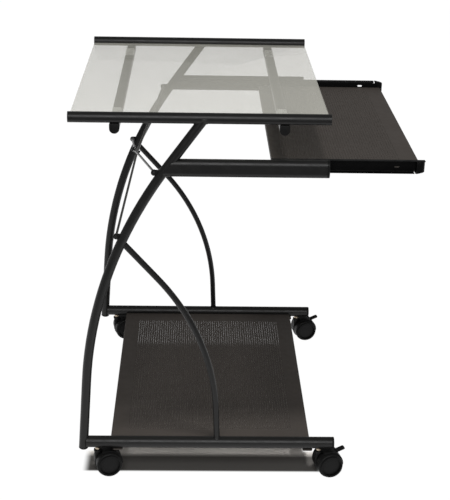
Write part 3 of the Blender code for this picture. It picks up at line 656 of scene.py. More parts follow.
class DESK_OT_base_tubes(bpy.types.Operator):
    """Straight base tubes with rounded end caps"""
    bl_idname = "desk.base_tubes"
    bl_label = "Base Tubes"
    cap_round = 0.0016
    cap_rim = 0.0026
    cap_dish = 0.0005

    def execute(self, context):
        settings = context.scene.desk_tubes
        for side in SIDES:
            low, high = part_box(side + "_base_tube")
            centre = (low + high) / 2
            radius = (high.z - low.z) / 2
            tube = pillar(side + "_base_run", radius, (centre.x, low.y, centre.z), (centre.x, high.y, centre.z),
                          settings.facets)
            foot = leg_foot(side)
            bead = ring(side + "_base_weld", radius * 0.86, settings.weld * 1.2,
                        (centre.x, foot.y - LEG_RADIUS * 0.72, centre.z), math.pi / 2)
            tube = merge(tube, bead)
            hand_over(tube, "frame_paint", "frame", [side + "_base_tube"])
            cap_low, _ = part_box(side + "_base_cap")
            cap = pillar(side + "_base_end_cap", radius, (centre.x, cap_low.y, centre.z),
                         (centre.x, low.y - CAP_GAP, centre.z), 48)
            with editing(cap):
                choose(cap, "faces", lambda f: f.normal.y < -0.9)
                bevel(self.cap_round, 4)
                choose(cap, "faces", lambda f: f.normal.y < -0.99 and f.calc_area() > 0.0001)
                bpy.ops.mesh.inset(thickness=self.cap_rim)
                bpy.ops.transform.translate(value=(0, self.cap_dish, 0))
            hand_over(cap, "black_plastic", "frame", [side + "_base_cap"])
        return {"FINISHED"}


class DESK_OT_braces(bpy.types.Operator):
    """Thin bent braces from the base tubes up to the legs, welded at both ends; only the weld bead at the foot
    is drawn
    """
    bl_idname = "desk.braces"
    bl_label = "Braces"

    def execute(self, context):
        settings = context.scene.desk_tubes
        for side in SIDES:
            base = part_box(side + "_base_tube")
            centre = (base[0] + base[1]) / 2
            radius = (base[1].z - base[0].z) / 2
            low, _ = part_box(side + "_brace")
            foot = Vector((centre.x, low.y + BRACE_RADIUS, centre.z))
            brace = bent_tube(side + "_brace_tube", foot, settings.brace_tilt, settings.brace_rise,
                              settings.brace_bend, settings.brace_top_tilt, BRACE_TOP, -1, BRACE_RADIUS, 32)
            bead = ring(side + "_brace_weld", BRACE_RADIUS + 0.0003, settings.weld, (0, 0, 0))
            for vertex in bead.data.vertices:
                vertex.co.z += math.sqrt(radius ** 2 - min(vertex.co.x ** 2, radius ** 2))
            seat = foot + Vector((0, radius * math.tan(settings.brace_tilt), 0))
            bead.data.transform(Matrix.Translation(seat))
            brace = merge(brace, bead)
            hand_over(brace, "frame_paint", "frame", [side + "_brace"])
        return {"FINISHED"}


def rounded_run(name, low, high, axis, upper, lower, segments=8):
    """A block along an axis with rounded upper and lower edges."""
    piece = block(name, low, high)
    middle_z = (Vector(low).z + Vector(high).z) / 2
    with editing(piece):
        choose(piece, "edges", lambda e: runs(e, axis) and middle(e).z > middle_z)
        bevel(upper, segments)
        choose(piece, "edges", lambda e: runs(e, axis) and middle(e).z < middle_z
               and abs(middle(e).z - Vector(low).z) < 0.00001)
        bevel(lower, segments)
    return piece


def open_ends(piece, axis, ends=(-1, 1)):
    with editing(piece):
        for end in ends:
            choose(piece, "faces", lambda f: f.normal[axis] * end > 0.99)
            bpy.ops.mesh.delete(type="ONLY_FACE")
    return piece


def end_plug(name, low, high, axis, upper, lower, dome=0.0008):
    """A moulded plug that closes a tube, with a softened face."""
    plug = rounded_run(name, low, high, axis, upper, lower)
    return soften(plug, dome, 3, 50)


class DESK_OT_top_rails(bpy.types.Operator):
    """Rounded square rails along both sides of the top, with plugs in their ends"""
    bl_idname = "desk.top_rails"
    bl_label = "Top Rails"
    corner = 0.0095
    metal = 0.0015

    def execute(self, context):
        for side in SIDES:
            low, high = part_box(side + "_top_rail")
            rail = open_ends(rounded_run(side + "_rail", low, high, 1, self.corner, self.corner), 1)
            hand_over(wall(rail, self.metal), "frame_paint", "frame", [side + "_top_rail"])
            inset = Vector((self.metal, 0, self.metal))
            for end, edge in (("front", low.y), ("rear", high.y)):
                inwards = 1 if end == "front" else -1
                ys = sorted((edge + inwards * 0.0003, edge + inwards * 0.010))
                plug = end_plug(side + "_" + end + "_rail_plug", (low.x + inset.x, ys[0], low.z + inset.z),
                                (high.x - inset.x, ys[1], high.z - inset.z), 1, self.corner - self.metal,
                                self.corner - self.metal)
                hand_over(plug, "black_plastic", "frame")
        return {"FINISHED"}


class DESK_OT_slide_tubes(bpy.types.Operator):
    """Oval tubes that carry the ball slides, fitted round the legs, with end caps"""
    bl_idname = "desk.slide_tubes"
    bl_label = "Slide Tubes"

    def execute(self, context):
        settings = context.scene.desk_tubes
        for side in SIDES:
            low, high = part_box(side + "_slide_tube")
            half = (high.x - low.x) / 2 - 0.00005
            tube = rounded_run(side + "_oval_tube", low, high, 1, half, half, 10)
            at, tilt = leg_point(settings, leg_foot(side), (low.z + high.z) / 2)
            with editing(tube):
                trim(at, (0, math.cos(tilt), math.sin(tilt)))
            hand_over(tube, "frame_paint", "frame", [side + "_slide_tube"])
            cap_low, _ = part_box(side + "_slide_tube_cap")
            cap = end_plug(side + "_oval_cap", (low.x, cap_low.y, low.z), (high.x, low.y - CAP_GAP, high.z), 1,
                           half, half, 0.0036)
            hand_over(cap, "black_plastic", "frame", [side + "_slide_tube_cap"])
        return {"FINISHED"}


class DESK_OT_crossbars(bpy.types.Operator):
    """Crossbars under the glass, their glossy end caps and the clear glass pads on them"""
    bl_idname = "desk.crossbars"
    bl_label = "Crossbars"
    pad_corner = 0.003
    pad_rim = 0.0016
    rim_rise = 0.0006
    pad_dish = 0.0005
    skirt = 0.0045
    corner = 0.0020
    metal = 0.0015

    def execute(self, context):
        for end in ENDS:
            low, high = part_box(end + "_crossbar")
            belly = (high.z - low.z) / 2 - 0.0002
            bar = open_ends(rounded_run(end + "_crossbar_run", low, high, 0, self.corner, belly), 0)
            hand_over(wall(bar, self.metal), "frame_paint", "frame", [end + "_crossbar"])
            for side, sign in SIDES.items():
                cap_low, cap_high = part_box(side + "_" + end + "_crossbar_cap")
                tip, edge = (cap_high.x, high.x) if sign > 0 else (cap_low.x, low.x)
                xs = sorted((tip, edge + sign * 0.0001))
                cap = end_plug(side + "_" + end + "_bar_cap", (xs[0], low.y, low.z), (xs[1], high.y, high.z), 0,
                               self.corner, belly, 0.0010)
                hand_over(cap, "black_plastic", "frame",
                          [side + "_" + end + "_crossbar_cap"])
                self.pad(side, end)
        return {"FINISHED"}

    def pad(self, side, end):
        """A soft pad with a raised rim and two grip ribs."""
        low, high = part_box(side + "_" + end + "_glass_pad")
        pad = block(side + "_" + end + "_soft_pad", low, (high.x, high.y, high.z - self.rim_rise))
        with editing(pad):
            choose(pad, "edges", lambda e: runs(e, 2))
            bevel(self.pad_corner, 5)
            choose(pad, "faces", lambda f: f.normal.z > 0.99)
            bpy.ops.mesh.inset(thickness=self.pad_rim)
            bpy.ops.mesh.extrude_region_move(TRANSFORM_OT_translate={"value": (0, 0, self.rim_rise)})
            bpy.ops.mesh.inset(thickness=0.0022)
            bpy.ops.transform.translate(value=(0, 0, -self.pad_dish))
        lips = []
        for edge in (low.y - 0.0006, high.y - 0.0004):
            lip = block(pad.name + "_lip", (low.x + 0.004, edge, low.z - self.skirt),
                        (high.x - 0.004, edge + 0.001, low.z))
            lips.append(soften(lip, 0.0003, 1))
        hand_over(merge(pad, *lips), "clear_pad", "frame", [side + "_" + end + "_glass_pad"])


class DESK_OT_glass_top(bpy.types.Operator):
    """Smoked glass sheet with ground edges"""
    bl_idname = "desk.glass_top"
    bl_label = "Glass Top"

    def execute(self, context):
        sheet = block("glass_sheet", *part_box("glass_top"))
        with editing(sheet):
            choose(sheet, "edges", lambda e: runs(e, 2))
            bevel(0.004, 6)
        hand_over(soften(sheet, 0.0008, 3), "glass", "frame", ["glass_top"], smooth=50)
        return {"FINISHED"}


# Perforated sheets
def perforated_field(name, low, high, top, columns, settings):
    """Sheet with a grid of round holes between two corners, made as one cell and repeated."""
    rows = round((high.y - low.y) / settings.pitch)
    step_x, step_y = (high.x - low.x) / columns, (high.y - low.y) / rows
    deselect()
    centre = Vector((low.x + step_x / 2, low.y + step_y / 2, top))
    bpy.ops.mesh.primitive_circle_add(vertices=8, radius=settings.hole / 2, location=centre,
                                      rotation=(0, 0, math.pi / 8))
    hole = named(name + "_hole")
    deselect()
    bpy.ops.mesh.primitive_plane_add(size=1.0, location=centre)
    bpy.context.active_object.scale = (step_x, step_y, 1)
    cell = named(name)
    with editing(cell):
        bpy.ops.mesh.select_all(action="SELECT")
        bpy.ops.mesh.delete(type="ONLY_FACE")
    cell = merge(cell, hole)
    with editing(cell):
        bpy.ops.mesh.select_all(action="SELECT")
        bpy.ops.mesh.fill(use_beauty=True)
        bpy.ops.mesh.normals_make_consistent(inside=False)
        choose(cell, "faces", lambda f: f.normal.z < 0)
        bpy.ops.mesh.flip_normals()
    for count, offset in ((columns, (step_x, 0, 0)), (rows, (0, step_y, 0))):
        modify(cell, "ARRAY", count=count, use_relative_offset=False, use_constant_offset=True,
               constant_offset_displace=offset, use_merge_vertices=True, merge_threshold=0.00005)
    return modify(cell, "SOLIDIFY", thickness=settings.metal, offset=-1.0)


def folded_pan(name, low, high, opening_low, opening_high, settings):
    """A sheet with folded-down edges and an opening for its perforated field."""
    pan = block(name, low, high)
    with editing(pan):
        choose(pan, "faces", lambda f: f.normal.z < -0.99)
        bpy.ops.mesh.delete(type="ONLY_FACE")
        choose(pan, "faces", lambda f: f.normal.z > 0.99)
        bpy.ops.mesh.inset(thickness=0.01)
    hole = {"low": opening_low, "high": opening_high}
    for vertex in pan.data.vertices:
        inside = low.x + 0.001 < vertex.co.x < high.x - 0.001
        if inside:
            vertex.co.x = hole["low"].x if vertex.co.x < (low.x + high.x) / 2 else hole["high"].x
            vertex.co.y = hole["low"].y if vertex.co.y < (low.y + high.y) / 2 else hole["high"].y
    with editing(pan):
        choose(pan, "faces", lambda f: f.normal.z > 0.99 and abs(middle(f).x) < 0.01 and abs(
            middle(f).y - (hole["low"].y + hole["high"].y) / 2) < 0.001)
        bpy.ops.mesh.delete(type="ONLY_FACE")
        choose(pan, "edges", lambda e: len(e.link_faces) == 2 and e.calc_face_angle(0) > 1.0)
        bevel(settings.fold, 4)
    return wall(pan, settings.metal)


def opening(low, high, border):
    """The opening inside a border given as side, front and rear."""
    side, front, rear = border
    return Vector((low.x + side, low.y + front, 0)), Vector((high.x - side, high.y - rear, 0))


def sheet_box(node, width, overhang):
    """A sheet's own box, without what reaches past its folded edges."""
    low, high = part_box(node)
    return Vector((-width, low.y + overhang, low.z)), Vector((width, high.y, high.z))


def perforated_sheet(name, node, body, half_width, bottom, border, settings, halves, overhang=0.0):
    """The pan and its perforated field, the field in as many equal parts as asked."""
    low, high = sheet_box(node, half_width, overhang)
    low.z = bottom
    field_low, field_high = opening(low, high, border)
    pan = folded_pan(name + "_pan", low, high, field_low, field_high, settings)
    width = (field_high.x - field_low.x) / halves
    columns = round(width / settings.pitch)
    for part in range(halves):
        part_low = Vector((field_low.x + part * width, field_low.y, 0))
        part_high = Vector((part_low.x + width, field_high.y, 0))
        field = perforated_field(f"{name}_field_{part + 1}", part_low, part_high, high.z, columns, settings)
        hand_over(field, "shelf_paint", body, smooth=0)
    return pan


class DESK_OT_lower_shelf(bpy.types.Operator):
    """Perforated lower shelf on screwed ears under the base tubes"""
    bl_idname = "desk.lower_shelf"
    bl_label = "Lower Shelf"
    ear = Vector((0.0145, 0.021, 0.0022))
    ear_overhang = 0.0045
    screw_x = 0.3375

    def execute(self, context):
        settings = context.scene.desk_sheets
        low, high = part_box("lower_shelf")
        tube_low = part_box("left_base_tube")[0].z
        half = self.half_width()
        pan = perforated_sheet("shelf", "lower_shelf", "frame", half, tube_low, settings.shelf_border,
                               settings, 2, self.ear_overhang)
        ears = []
        for side, sign in SIDES.items():
            for end, near in (("front", low.y), ("rear", high.y - 0.006 - self.ear.y)):
                xs = sorted((sign * (half - 0.003), sign * high.x))
                ear = block("ear", (xs[0], near, low.z), (xs[1], near + self.ear.y, low.z + self.ear.z))
                with editing(ear):
                    choose(ear, "edges", lambda e: runs(e, 2) and abs(middle(e).x) > half + 0.01)
                    bevel(0.004, 5)
                ears.append(soften(ear, 0.0004, 2))
                screw_at = (sign * self.screw_x, near + self.ear.y / 2, low.z + 0.0003)
                fixing = screw(f"{side}_{end}_ear_screw", screw_at, (0, 0, -1), 0.0034, 0.0015)
                hand_over(fixing, "rod_steel", "frame")
        hand_over(merge(pan, *ears), "shelf_paint", "frame", ["lower_shelf"], smooth=35)
        return {"FINISHED"}

    def half_width(self):
        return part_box("right_base_tube")[0].x - 0.0007


class DESK_OT_keyboard_tray(bpy.types.Operator):
    """Perforated keyboard tray with folded edges, screwed between its slides"""
    bl_idname = "desk.keyboard_tray"
    bl_label = "Keyboard Tray"
    screw_from_front = 0.051
    screw_from_rear = 0.035
    screw_rise = 0.0045

    def execute(self, context):
        settings = context.scene.desk_sheets
        low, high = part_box("keyboard_tray")
        pan = perforated_sheet("tray", "keyboard_tray", "tray", high.x, low.z, settings.tray_border,
                               settings, 1)
        hand_over(pan, "shelf_paint", "tray", ["keyboard_tray"], smooth=35)
        for side, sign in SIDES.items():
            for spot, y in (("front", low.y + self.screw_from_front), ("middle", (low.y + high.y) / 2),
                            ("rear", high.y - self.screw_from_rear)):
                screw_at = (sign * (high.x - 0.0010), y, low.z + self.screw_rise)
                head = screw(f"{side}_{spot}_tray_screw", screw_at,
                             (-sign, 0, 0), 0.0034, 0.0016)
                hand_over(head, "rod_steel", "tray")
        return {"FINISHED"}


# Cross rods and slides
class DESK_OT_cross_rods(bpy.types.Operator):
    """Two thin rods crossing behind the legs, with flattened eyes and a bolt at the crossing"""
    bl_idname = "desk.cross_rods"
    bl_label = "Cross Rods"
    rod = 0.0025
    eye = 0.0052
    eye_half = 0.0021
    head_offset = 0.0062          # from the crossing to the bolt's head and nut

    def execute(self, context):
        upper, lower = rod_ends()
        bolt_low, bolt_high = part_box("cross_bolt")
        centre = (bolt_low + bolt_high) / 2
        behind = Vector((0, (lower - upper).z * -1, (lower - upper).y)).normalized()
        if behind.y < 0:
            behind.negate()
        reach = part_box("right_leg")[0].x + LEG_RADIUS - PLATE_HALF - 0.0003 - self.rod
        for letter, sign, left, right in (("a", 1, upper, lower), ("b", -1, lower, upper)):
            ends = [Vector((-reach, left.y, left.z)), Vector((reach, right.y, right.z))]
            crossing = centre + behind * sign * (self.rod + 0.0006)
            parts = [pillar("rod_half", self.rod, end, crossing, 20) for end in ends]
            for spot, axis in ((ends[0], Vector((1, 0, 0))), (ends[1], Vector((1, 0, 0))), (crossing, behind)):
                disc = pillar("rod_eye", self.eye, spot - axis * self.eye_half, spot + axis * self.eye_half, 32)
                parts.append(soften(disc, 0.0007, 3))
            rod = merge(*parts)
            rod.name = "cross_rod_" + letter + "_bar"
            hand_over(rod, "rod_steel", "frame", ["cross_rod_" + letter])
        shank = pillar("cross_bolt_shank", 0.0016, centre - behind * 0.0075, centre + behind * 0.0075, 16)
        nut = bolt_head("cross_nut", centre - behind * self.head_offset, -behind, 0.0046, 0.0028)
        cap = bolt_head("cross_head", centre + behind * self.head_offset, behind, 0.0052, 0.0032, 28)
        bolt = merge(shank, nut, cap)
        bolt.name = "cross_bolt_set"
        hand_over(bolt, "slide_steel", "frame", ["cross_bolt"])
        return {"FINISHED"}


class DESK_OT_ball_slides(bpy.types.Operator):
    """Moving slide members with bent channels, slots, rivets and front stops, and the fixed ones behind them"""
    bl_idname = "desk.ball_slides"
    bl_label = "Ball Slides"
    metal = 0.0012
    nick = (0.0185, 0.0205)       # from the front end, along the slide
    nick_depth = 0.0040
    stop_length = 0.0170
    wedge = 0.0150                # length of the chamfered front corner
    wedge_slope = 0.22
    front_slot = (0.0545, 0.0022, 0.0105, 0.0038)     # distance from the front end, offset, length, width
    rear_slot = (0.2200, -0.0060, 0.0100, 0.0042)
    rivets = (0.0085, 0.120, 0.285)

    def execute(self, context):
        for side, sign in SIDES.items():
            self.member(side, sign)
            refinish(side + "_fixed_member", side + "_ball_cage")
        return {"FINISHED"}

    def member(self, side, sign):
        low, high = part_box(side + "_tray_member")
        channel = block(side + "_channel", low, high)
        with editing(channel):
            choose(channel, "faces", lambda f: f.normal.x * sign > 0.99 or abs(f.normal.y) > 0.99)
            bpy.ops.mesh.delete(type="ONLY_FACE")
            choose(channel, "edges", lambda e: runs(e, 1) and len(e.link_faces) == 2)
            bevel(0.0022, 5)
        wall(channel, self.metal)
        web = low.x if sign > 0 else high.x
        centre_z = (low.z + high.z) / 2
        tools = [self.slot(web, low.y + at, centre_z + sign * offset, length, width)
                 for at, offset, length, width in (self.front_slot, self.rear_slot)]
        edge = low.z if sign < 0 else high.z
        tools.append(block("nick", (low.x - 0.01, low.y + self.nick[0], edge - self.nick_depth),
                           (high.x + 0.01, low.y + self.nick[1], edge + self.nick_depth)))
        carve(channel, *tools)
        inner = web + sign * self.metal
        xs = sorted((inner, (high.x if sign > 0 else low.x) - sign * 0.0002))
        stop = block("stop", (xs[0], low.y + 0.0004, low.z + 0.0013),
                     (xs[1], low.y + self.stop_length, high.z - 0.0013))
        with editing(stop):
            choose(stop, "edges", lambda e: runs(e, 2) and middle(e).y < low.y + 0.005
                   and sign * (middle(e).x - inner) > 0.005)
            bevel(0.0045, 1)
        soften(stop, 0.0006, 2)
        rivets = [self.rivet(web, sign, low.y + at, centre_z) for at in self.rivets]
        for piece in (channel, stop):
            with editing(piece):
                trim((0, low.y + self.wedge, edge), (0, -self.wedge_slope, sign))
        member = merge(channel, stop, *rivets)
        member.name = side + "_slide_member"
        hand_over(member, "slide_steel", "tray", [side + "_tray_member"], smooth=35)

    def slot(self, x, y, z, length, width):
        """A cutter for an oblong slot through the web."""
        tool = block("slot", (x - 0.004, y - length / 2, z - width / 2),
                     (x + 0.004, y + length / 2, z + width / 2))
        with editing(tool):
            choose(tool, "edges", lambda e: runs(e, 0))
            bevel(width / 2 - 0.0001, 6)
        return tool

    def rivet(self, web, sign, y, z):
        """A flat rivet head on the inner face of the web."""
        face = web + sign * 0.0001
        head = pillar("rivet", 0.0026, (face, y, z), (face - sign * 0.0003, y, z), 20)
        return soften(head, 0.0002, 2, 50)


# Casters
def caster_place(side, end, settings):
    """From a caster's own axes, trail along X and axle along Y, to the desk's."""
    stem = centre_of(f"{side}_{end}_caster_stem")
    trail = Vector((math.sin(settings.heading), -math.cos(settings.heading), 0))
    turn = Matrix((trail, UP.cross(trail), UP)).transposed().to_4x4()
    return Matrix.Translation((stem.x, stem.y, 0)) @ turn


class DESK_OT_casters(bpy.types.Operator):
    """Twin-wheel casters: stems, hooded housings, wheels, axles and the front brake levers"""
    bl_idname = "desk.casters"
    bl_label = "Casters"
    axle_z = 0.0275
    hood_half = 0.0190
    hood_metal = 0.0014
    web_half = 0.0042
    boss_radius = 0.0085
    boss_heights = (0.0516, 0.0572)
    wheel_faces = (0.0050, 0.0255)
    tread_round = 0.0036
    face_step = 0.0009
    hub_rise = 0.0005
    inner_recess = 0.0045
    ridge_count = 5
    ridge_first = 0.0070
    ridge_pitch = 0.0026
    lever_pivot = (0.0125, 0.0440)        # past the axle, and its height
    paddle_rise = math.radians(19)
    arm_rise = math.radians(43)
    shank_radius = 0.0040
    collar_radius = 0.0060
    collar_height = 0.0042

    def execute(self, context):
        settings = context.scene.desk_casters
        housings = {"front": self.housing("braked_housing", settings, True),
                    "rear": self.housing("plain_housing", settings, False)}
        wheel = self.wheel("wheel_form", settings)
        lever = self.lever("lever_form", settings)
        for end in ENDS:
            for side in SIDES:
                name = f"{side}_{end}_caster"
                place = caster_place(side, end, settings)
                shell = copy_of(housings[end], name + "_hooded_housing", place)
                hand_over(shell, "black_plastic", name, [name + "_housing"])
                for spot, sign in (("near", -1), ("far", 1)):
                    at_side = place if sign > 0 else place @ Matrix.Diagonal((1, -1, 1, 1))
                    disc = copy_of(wheel, f"{name}_{spot}_disc", at_side)
                    body = f"{name}_{spot}_wheel"
                    hand_over(disc, "black_plastic", body, [body])
                if end == "front":
                    tab = copy_of(lever, name + "_lever_tab", place)
                    body = name + "_brake_lever"
                    hand_over(tab, "black_plastic", body, [body])
                self.stem(name)
                refinish(name + "_axle")
        for form in (*housings.values(), wheel, lever):
            bpy.data.objects.remove(form)
        return {"FINISHED"}

    def housing(self, name, settings, braked):
        """Barrel hood over the wheels, the web between them and the stem's boss."""
        axle = Vector((settings.trail, 0, self.axle_z))
        side = Vector((0, self.hood_half, 0))
        hood = pillar(name, settings.hood, axle - side, axle + side, 96)
        with editing(hood):
            choose(hood, "faces", lambda f: abs(f.normal.y) > 0.99)
            bpy.ops.mesh.delete(type="ONLY_FACE")
            for angle, sense in ((-4.0, 1), (118.0, -1)):
                ray = math.radians(angle)
                normal = Vector((math.sin(ray), 0, -math.cos(ray))) * sense
                trim(axle, normal, fill=False)
        wall(hood, self.hood_metal)
        soften(hood, 0.0004, 2)
        side = Vector((0, self.web_half, 0))
        web = pillar("web", settings.hood - 0.0008, axle - side, axle + side, 72)
        with editing(web):
            trim(axle + Vector((0.0095, 0, 0)), (1, 0, 0))
            trim(axle - Vector((0, 0, 0.0120)), (0.35, 0, -1))
        soften(web, 0.0005, 2)
        boss_low, boss_high = self.boss_heights
        boss = pillar("boss", self.boss_radius, (0, 0, boss_low), (0, 0, boss_high), 40)
        soften(boss, 0.0010, 3, 50)
        shoulder = block("shoulder", (-0.0070, -self.web_half, 0.0350), (0.0120, self.web_half, 0.0540))
        soften(shoulder, 0.0012, 2)
        if braked:
            notch = block("notch", (0.0335, -0.0080, 0.0425), (0.0450, 0.0080, 0.0620))
            carve(hood, notch)
        return merge(hood, web, boss, shoulder)

    def wheel(self, name, settings):
        """One wheel with a rounded tread, a stepped face and a domed hub cap, on the far side of the web."""
        axle = Vector((settings.trail, 0, self.axle_z))
        inner, outer = self.wheel_faces
        wheel = pillar(name, settings.wheel, axle + Vector((0, inner, 0)), axle + Vector((0, outer, 0)), 72)
        with editing(wheel):
            choose(wheel, "faces", lambda f: f.normal.y > 0.99)
            bevel(self.tread_round, 6)
            choose(wheel, "faces", lambda f: f.normal.y > 0.99)
            bpy.ops.mesh.inset(thickness=0.0014)
            bpy.ops.mesh.inset(thickness=0.0006)
            bpy.ops.transform.translate(value=(0, -self.face_step, 0))
            bpy.ops.mesh.inset(thickness=0.0050)
            bpy.ops.mesh.inset(thickness=0.0070)
            bpy.ops.transform.translate(value=(0, self.hub_rise, 0))
            choose(wheel, "faces", lambda f: f.normal.y < -0.99)
            bevel(0.0014, 3)
            choose(wheel, "faces", lambda f: f.normal.y < -0.99)
            bpy.ops.mesh.inset(thickness=0.0030)
            bpy.ops.mesh.extrude_region_move(TRANSFORM_OT_translate={"value": (0, self.inner_recess, 0)})
        return wheel

    def lever(self, name, settings):
        """Brake tab: an arched paddle with grip ridges on an arm that turns inside the hood."""
        pivot = Vector((settings.trail + self.lever_pivot[0], 0, self.lever_pivot[1]))
        root = pivot + Vector((0.0055, 0, 0.0050))
        paddle = block(name, (0.0015, -0.0070, 0), (0.0205, 0.0070, 0.0026))
        with editing(paddle):
            choose(paddle, "edges", lambda e: runs(e, 2) and middle(e).x > 0.015)
            bevel(0.0035, 5)
        soften(paddle, 0.0007, 3)
        ridges = []
        if settings.ridged:
            for count in range(self.ridge_count):
                x = self.ridge_first + count * self.ridge_pitch
                ridges.append(pillar("ridge", 0.0006, (x, -0.0048, 0.0026), (x, 0.0048, 0.0026), 12))
        paddle = merge(paddle, *ridges)
        paddle.data.transform(Matrix.Translation(root) @ Matrix.Rotation(-self.paddle_rise, 4, "Y"))
        arm = block("arm", (-0.0010, -0.0033, -0.0012), (0.0125, 0.0033, 0.0012))
        soften(arm, 0.0005, 2)
        arm.data.transform(Matrix.Translation(pivot) @ Matrix.Rotation(-self.arm_rise, 4, "Y"))
        hub = pillar("hub", 0.0026, pivot - Vector((0, 0.0033, 0)), pivot + Vector((0, 0.0033, 0)), 20)
        return merge(paddle, arm, hub)

    def stem(self, name):
        """Grip stem with a flanged collar under the tube."""
        low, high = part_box(name + "_stem")
        centre = (low + high) / 2
        shank = pillar("shank", self.shank_radius, (centre.x, centre.y, low.z),
                       (centre.x, centre.y, high.z), 28)
        soften(shank, 0.0006, 2, 50)
        tube_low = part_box("left_base_tube")[0].z
        collar = pillar("collar", self.collar_radius, (centre.x, centre.y, tube_low - self.collar_height),
                        (centre.x, centre.y, tube_low), 36)
        with editing(collar):
            choose(collar, "faces", lambda f: abs(f.normal.z) < 0.1)
            bpy.ops.mesh.inset(thickness=0.0014)
            choose(collar, "verts", lambda v: abs(v.co.z - tube_low + self.collar_height / 2) < 0.0012)
            bpy.ops.transform.resize(value=(0.90, 0.90, 1), center_override=(centre.x, centre.y, tube_low))
        stem = merge(soften(collar, 0.0003, 2, 50), shank)
        stem.name = name + "_collared_stem"
        hand_over(stem, "stem_steel", "frame", [name + "_stem"])


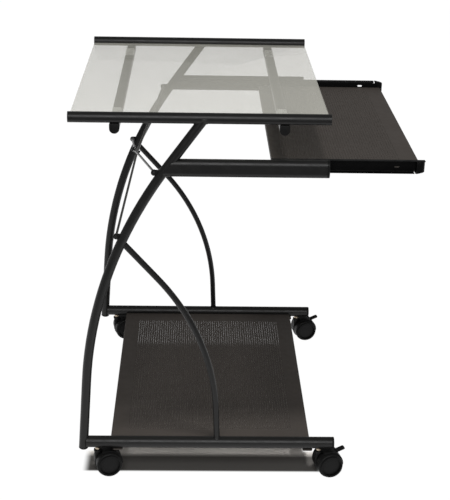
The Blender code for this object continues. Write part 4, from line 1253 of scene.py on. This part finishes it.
# Stage
class DESK_OT_stage(bpy.types.Operator):
    """Pale floor that glows evenly but for a patch under the desk with a painted shadow band, soft studio light
    and the camera
    """
    bl_idname = "desk.stage"
    bl_label = "Stage"
    painted_shadow_share = 0.14                 # painted shadow: share of the floor's colour left in the band under the near side
    painted_shadow_end = (-0.275, -0.255)      # where the painted shadow band ends, across the desk
    # Patches where the floor stops glowing, so that light and shadow show there; their edges also set where the
    # floor's shadow stops
    under_shelf = ((-0.3375, -0.3295, 0.280, 0.310), (-0.150, -0.138, 0.272, 0.292))
    near_side = ((-0.3375, -0.3295, -0.255, -0.245), (-0.187, -0.165, 0.325, 0.345))

    def execute(self, context):
        settings = context.scene.desk_stage
        deselect()
        bpy.ops.mesh.primitive_plane_add(size=1.0, location=(3.6, 0, 0))
        bpy.context.active_object.scale = (9.6, 9.0, 1)
        floor = named("studio_floor")
        floor.data.materials.append(self.glowing_floor_with_painted_shadow(settings))
        self.lights(context, settings)
        self.camera(context, settings)
        context.scene.view_settings.view_transform = "Standard"
        return {"FINISHED"}

    def glowing_floor_with_painted_shadow(self, settings):
        """A floor that glows evenly, but for a patch under the shelf where real light and shadow show, and
        where a painted shadow band darkens the patch's near side.
        """
        made, tree, principled = shader("lit floor", Roughness=0.9, Specular_IOR_Level=0.1)
        place = object_place(tree)
        patches = [self.patch(tree, place, *area) for area in (self.under_shelf, self.near_side)]
        shade = self.combine(tree, "MAXIMUM", *patches)
        split = tree.nodes.new("ShaderNodeSeparateXYZ")
        tree.links.new(place, split.inputs["Vector"])
        # Painted shadow: under the near side the floor keeps only a small share of its colour, standing in for
        # the shadow of the base tube and the shelf's solid border
        clear = ramp(tree, split.outputs["X"], 0.0, 1.0, self.painted_shadow_end)
        floor_with_painted_shadow = tint(tree, clear, scaled(settings.floor, self.painted_shadow_share), settings.floor)
        mix = tree.nodes.new("ShaderNodeMix")
        mix.data_type = "RGBA"
        mix.inputs["A"].default_value = (0.02, 0.02, 0.02, 1)
        tree.links.new(floor_with_painted_shadow, mix.inputs["B"])
        tree.links.new(shade, mix.inputs["Factor"])
        # Outside the patches the floor glows evenly, which hides the shadows cast there
        feed(tree, principled, Base_Color=mix.outputs["Result"],
             Emission_Strength=ramp(tree, shade, settings.glow, 0.0, (0.0, 1.0)))
        principled.inputs["Emission Color"].default_value = (1, 1, 1, 1)
        return made

    def patch(self, tree, place, along_x, along_y):
        """1 inside a soft-edged rectangle and 0 outside; each side has its outer and inner edges."""
        split = tree.nodes.new("ShaderNodeSeparateXYZ")
        tree.links.new(place, split.inputs["Vector"])
        inside = None
        for axis, (low_out, low_in, high_in, high_out) in (("X", along_x), ("Y", along_y)):
            for span in ((low_out, low_in), (high_out, high_in)):
                fade = ramp(tree, split.outputs[axis], 0.0, 1.0, span)
                fade.node.interpolation_type = "SMOOTHSTEP"
                inside = fade if inside is None else self.combine(tree, "MULTIPLY", inside, fade)
        return inside

    def combine(self, tree, operation, first, second):
        made = tree.nodes.new("ShaderNodeMath")
        made.operation = operation
        tree.links.new(first, made.inputs[0])
        tree.links.new(second, made.inputs[1])
        return made.outputs["Value"]

    def lights(self, context, settings):
        world = bpy.data.worlds.new("studio")
        world.use_nodes = True
        background = world.node_tree.nodes["Background"]
        background.inputs["Color"].default_value = (1, 1, 1, 1)
        background.inputs["Strength"].default_value = settings.sky
        context.scene.world = world
        key = self.lamp("key_light", "SUN", (-0.8, 0.1, 3.2), (-0.2, 0.1, 0.4))
        key.data.energy = settings.key
        key.data.angle = math.radians(9)
        key.visible_glossy = False
        box = self.lamp("softbox", "AREA", (-2.45, 0.1, 1.95), (-0.3, 0.1, 0.5))
        box.data.size = 1.7
        box.data.energy = settings.softbox
        box.visible_camera = False

    def lamp(self, name, kind, place, target):
        deselect()
        bpy.ops.object.light_add(type=kind, location=place)
        light = bpy.context.active_object
        light.name = name
        aim = Vector(target) - Vector(place)
        light.rotation_euler = aim.to_track_quat("-Z", "Y").to_euler()
        return light

    def camera(self, context, settings):
        deselect()
        bpy.ops.object.camera_add(location=settings.eye)
        eye = bpy.context.active_object
        eye.name = "studio_camera"
        eye.data.lens = settings.lens
        eye.data.sensor_width = 36.0
        eye.data.clip_end = 60.0
        turn = (Matrix.Rotation(-math.pi / 2 - settings.yaw, 3, "Z")
                @ Matrix.Rotation(math.pi / 2 - settings.pitch, 3, "X")
                @ Matrix.Rotation(settings.roll, 3, "Z"))
        eye.rotation_euler = turn.to_euler()
        context.scene.camera = eye


PIECES = (DESK_OT_side_legs, DESK_OT_base_tubes, DESK_OT_braces, DESK_OT_top_rails, DESK_OT_slide_tubes,
          DESK_OT_crossbars, DESK_OT_glass_top, DESK_OT_lower_shelf, DESK_OT_cross_rods, DESK_OT_ball_slides,
          DESK_OT_keyboard_tray, DESK_OT_casters, DESK_OT_stage)
SETTINGS = {"desk_finish": FinishSettings, "desk_tubes": TubeSettings, "desk_sheets": SheetSettings,
            "desk_casters": CasterSettings, "desk_stage": StageSettings}


class DESK_PT_panel(bpy.types.Panel):
    """Lists the desk's settings and the steps that build it"""
    bl_idname = "DESK_PT_panel"
    bl_label = "Computer Desk"
    bl_space_type = "VIEW_3D"
    bl_region_type = "UI"
    bl_category = "Desk"

    def draw(self, context):
        for group, kind in SETTINGS.items():
            box = self.layout.box()
            box.label(text=kind.__doc__)
            for key in kind.__annotations__:
                box.prop(getattr(context.scene, group), key)
        for operator in PIECES:
            self.layout.operator(operator.bl_idname)


CLASSES = (*SETTINGS.values(), *PIECES, DESK_PT_panel)


def register():
    for kind in CLASSES:
        bpy.utils.register_class(kind)
    for group, kind in SETTINGS.items():
        setattr(bpy.types.Scene, group, PointerProperty(type=kind))


def unregister():
    for group in SETTINGS:
        delattr(bpy.types.Scene, group)
    for kind in reversed(CLASSES):
        bpy.utils.unregister_class(kind)


def main():
    register()
    bpy.ops.desk.side_legs()
    bpy.ops.desk.base_tubes()
    bpy.ops.desk.braces()
    bpy.ops.desk.top_rails()
    bpy.ops.desk.slide_tubes()
    bpy.ops.desk.crossbars()
    bpy.ops.desk.glass_top()
    bpy.ops.desk.lower_shelf()
    bpy.ops.desk.cross_rods()
    bpy.ops.desk.ball_slides()
    bpy.ops.desk.keyboard_tray()
    bpy.ops.desk.casters()
    bpy.ops.desk.stage()


if __name__ == "__main__":
    main()
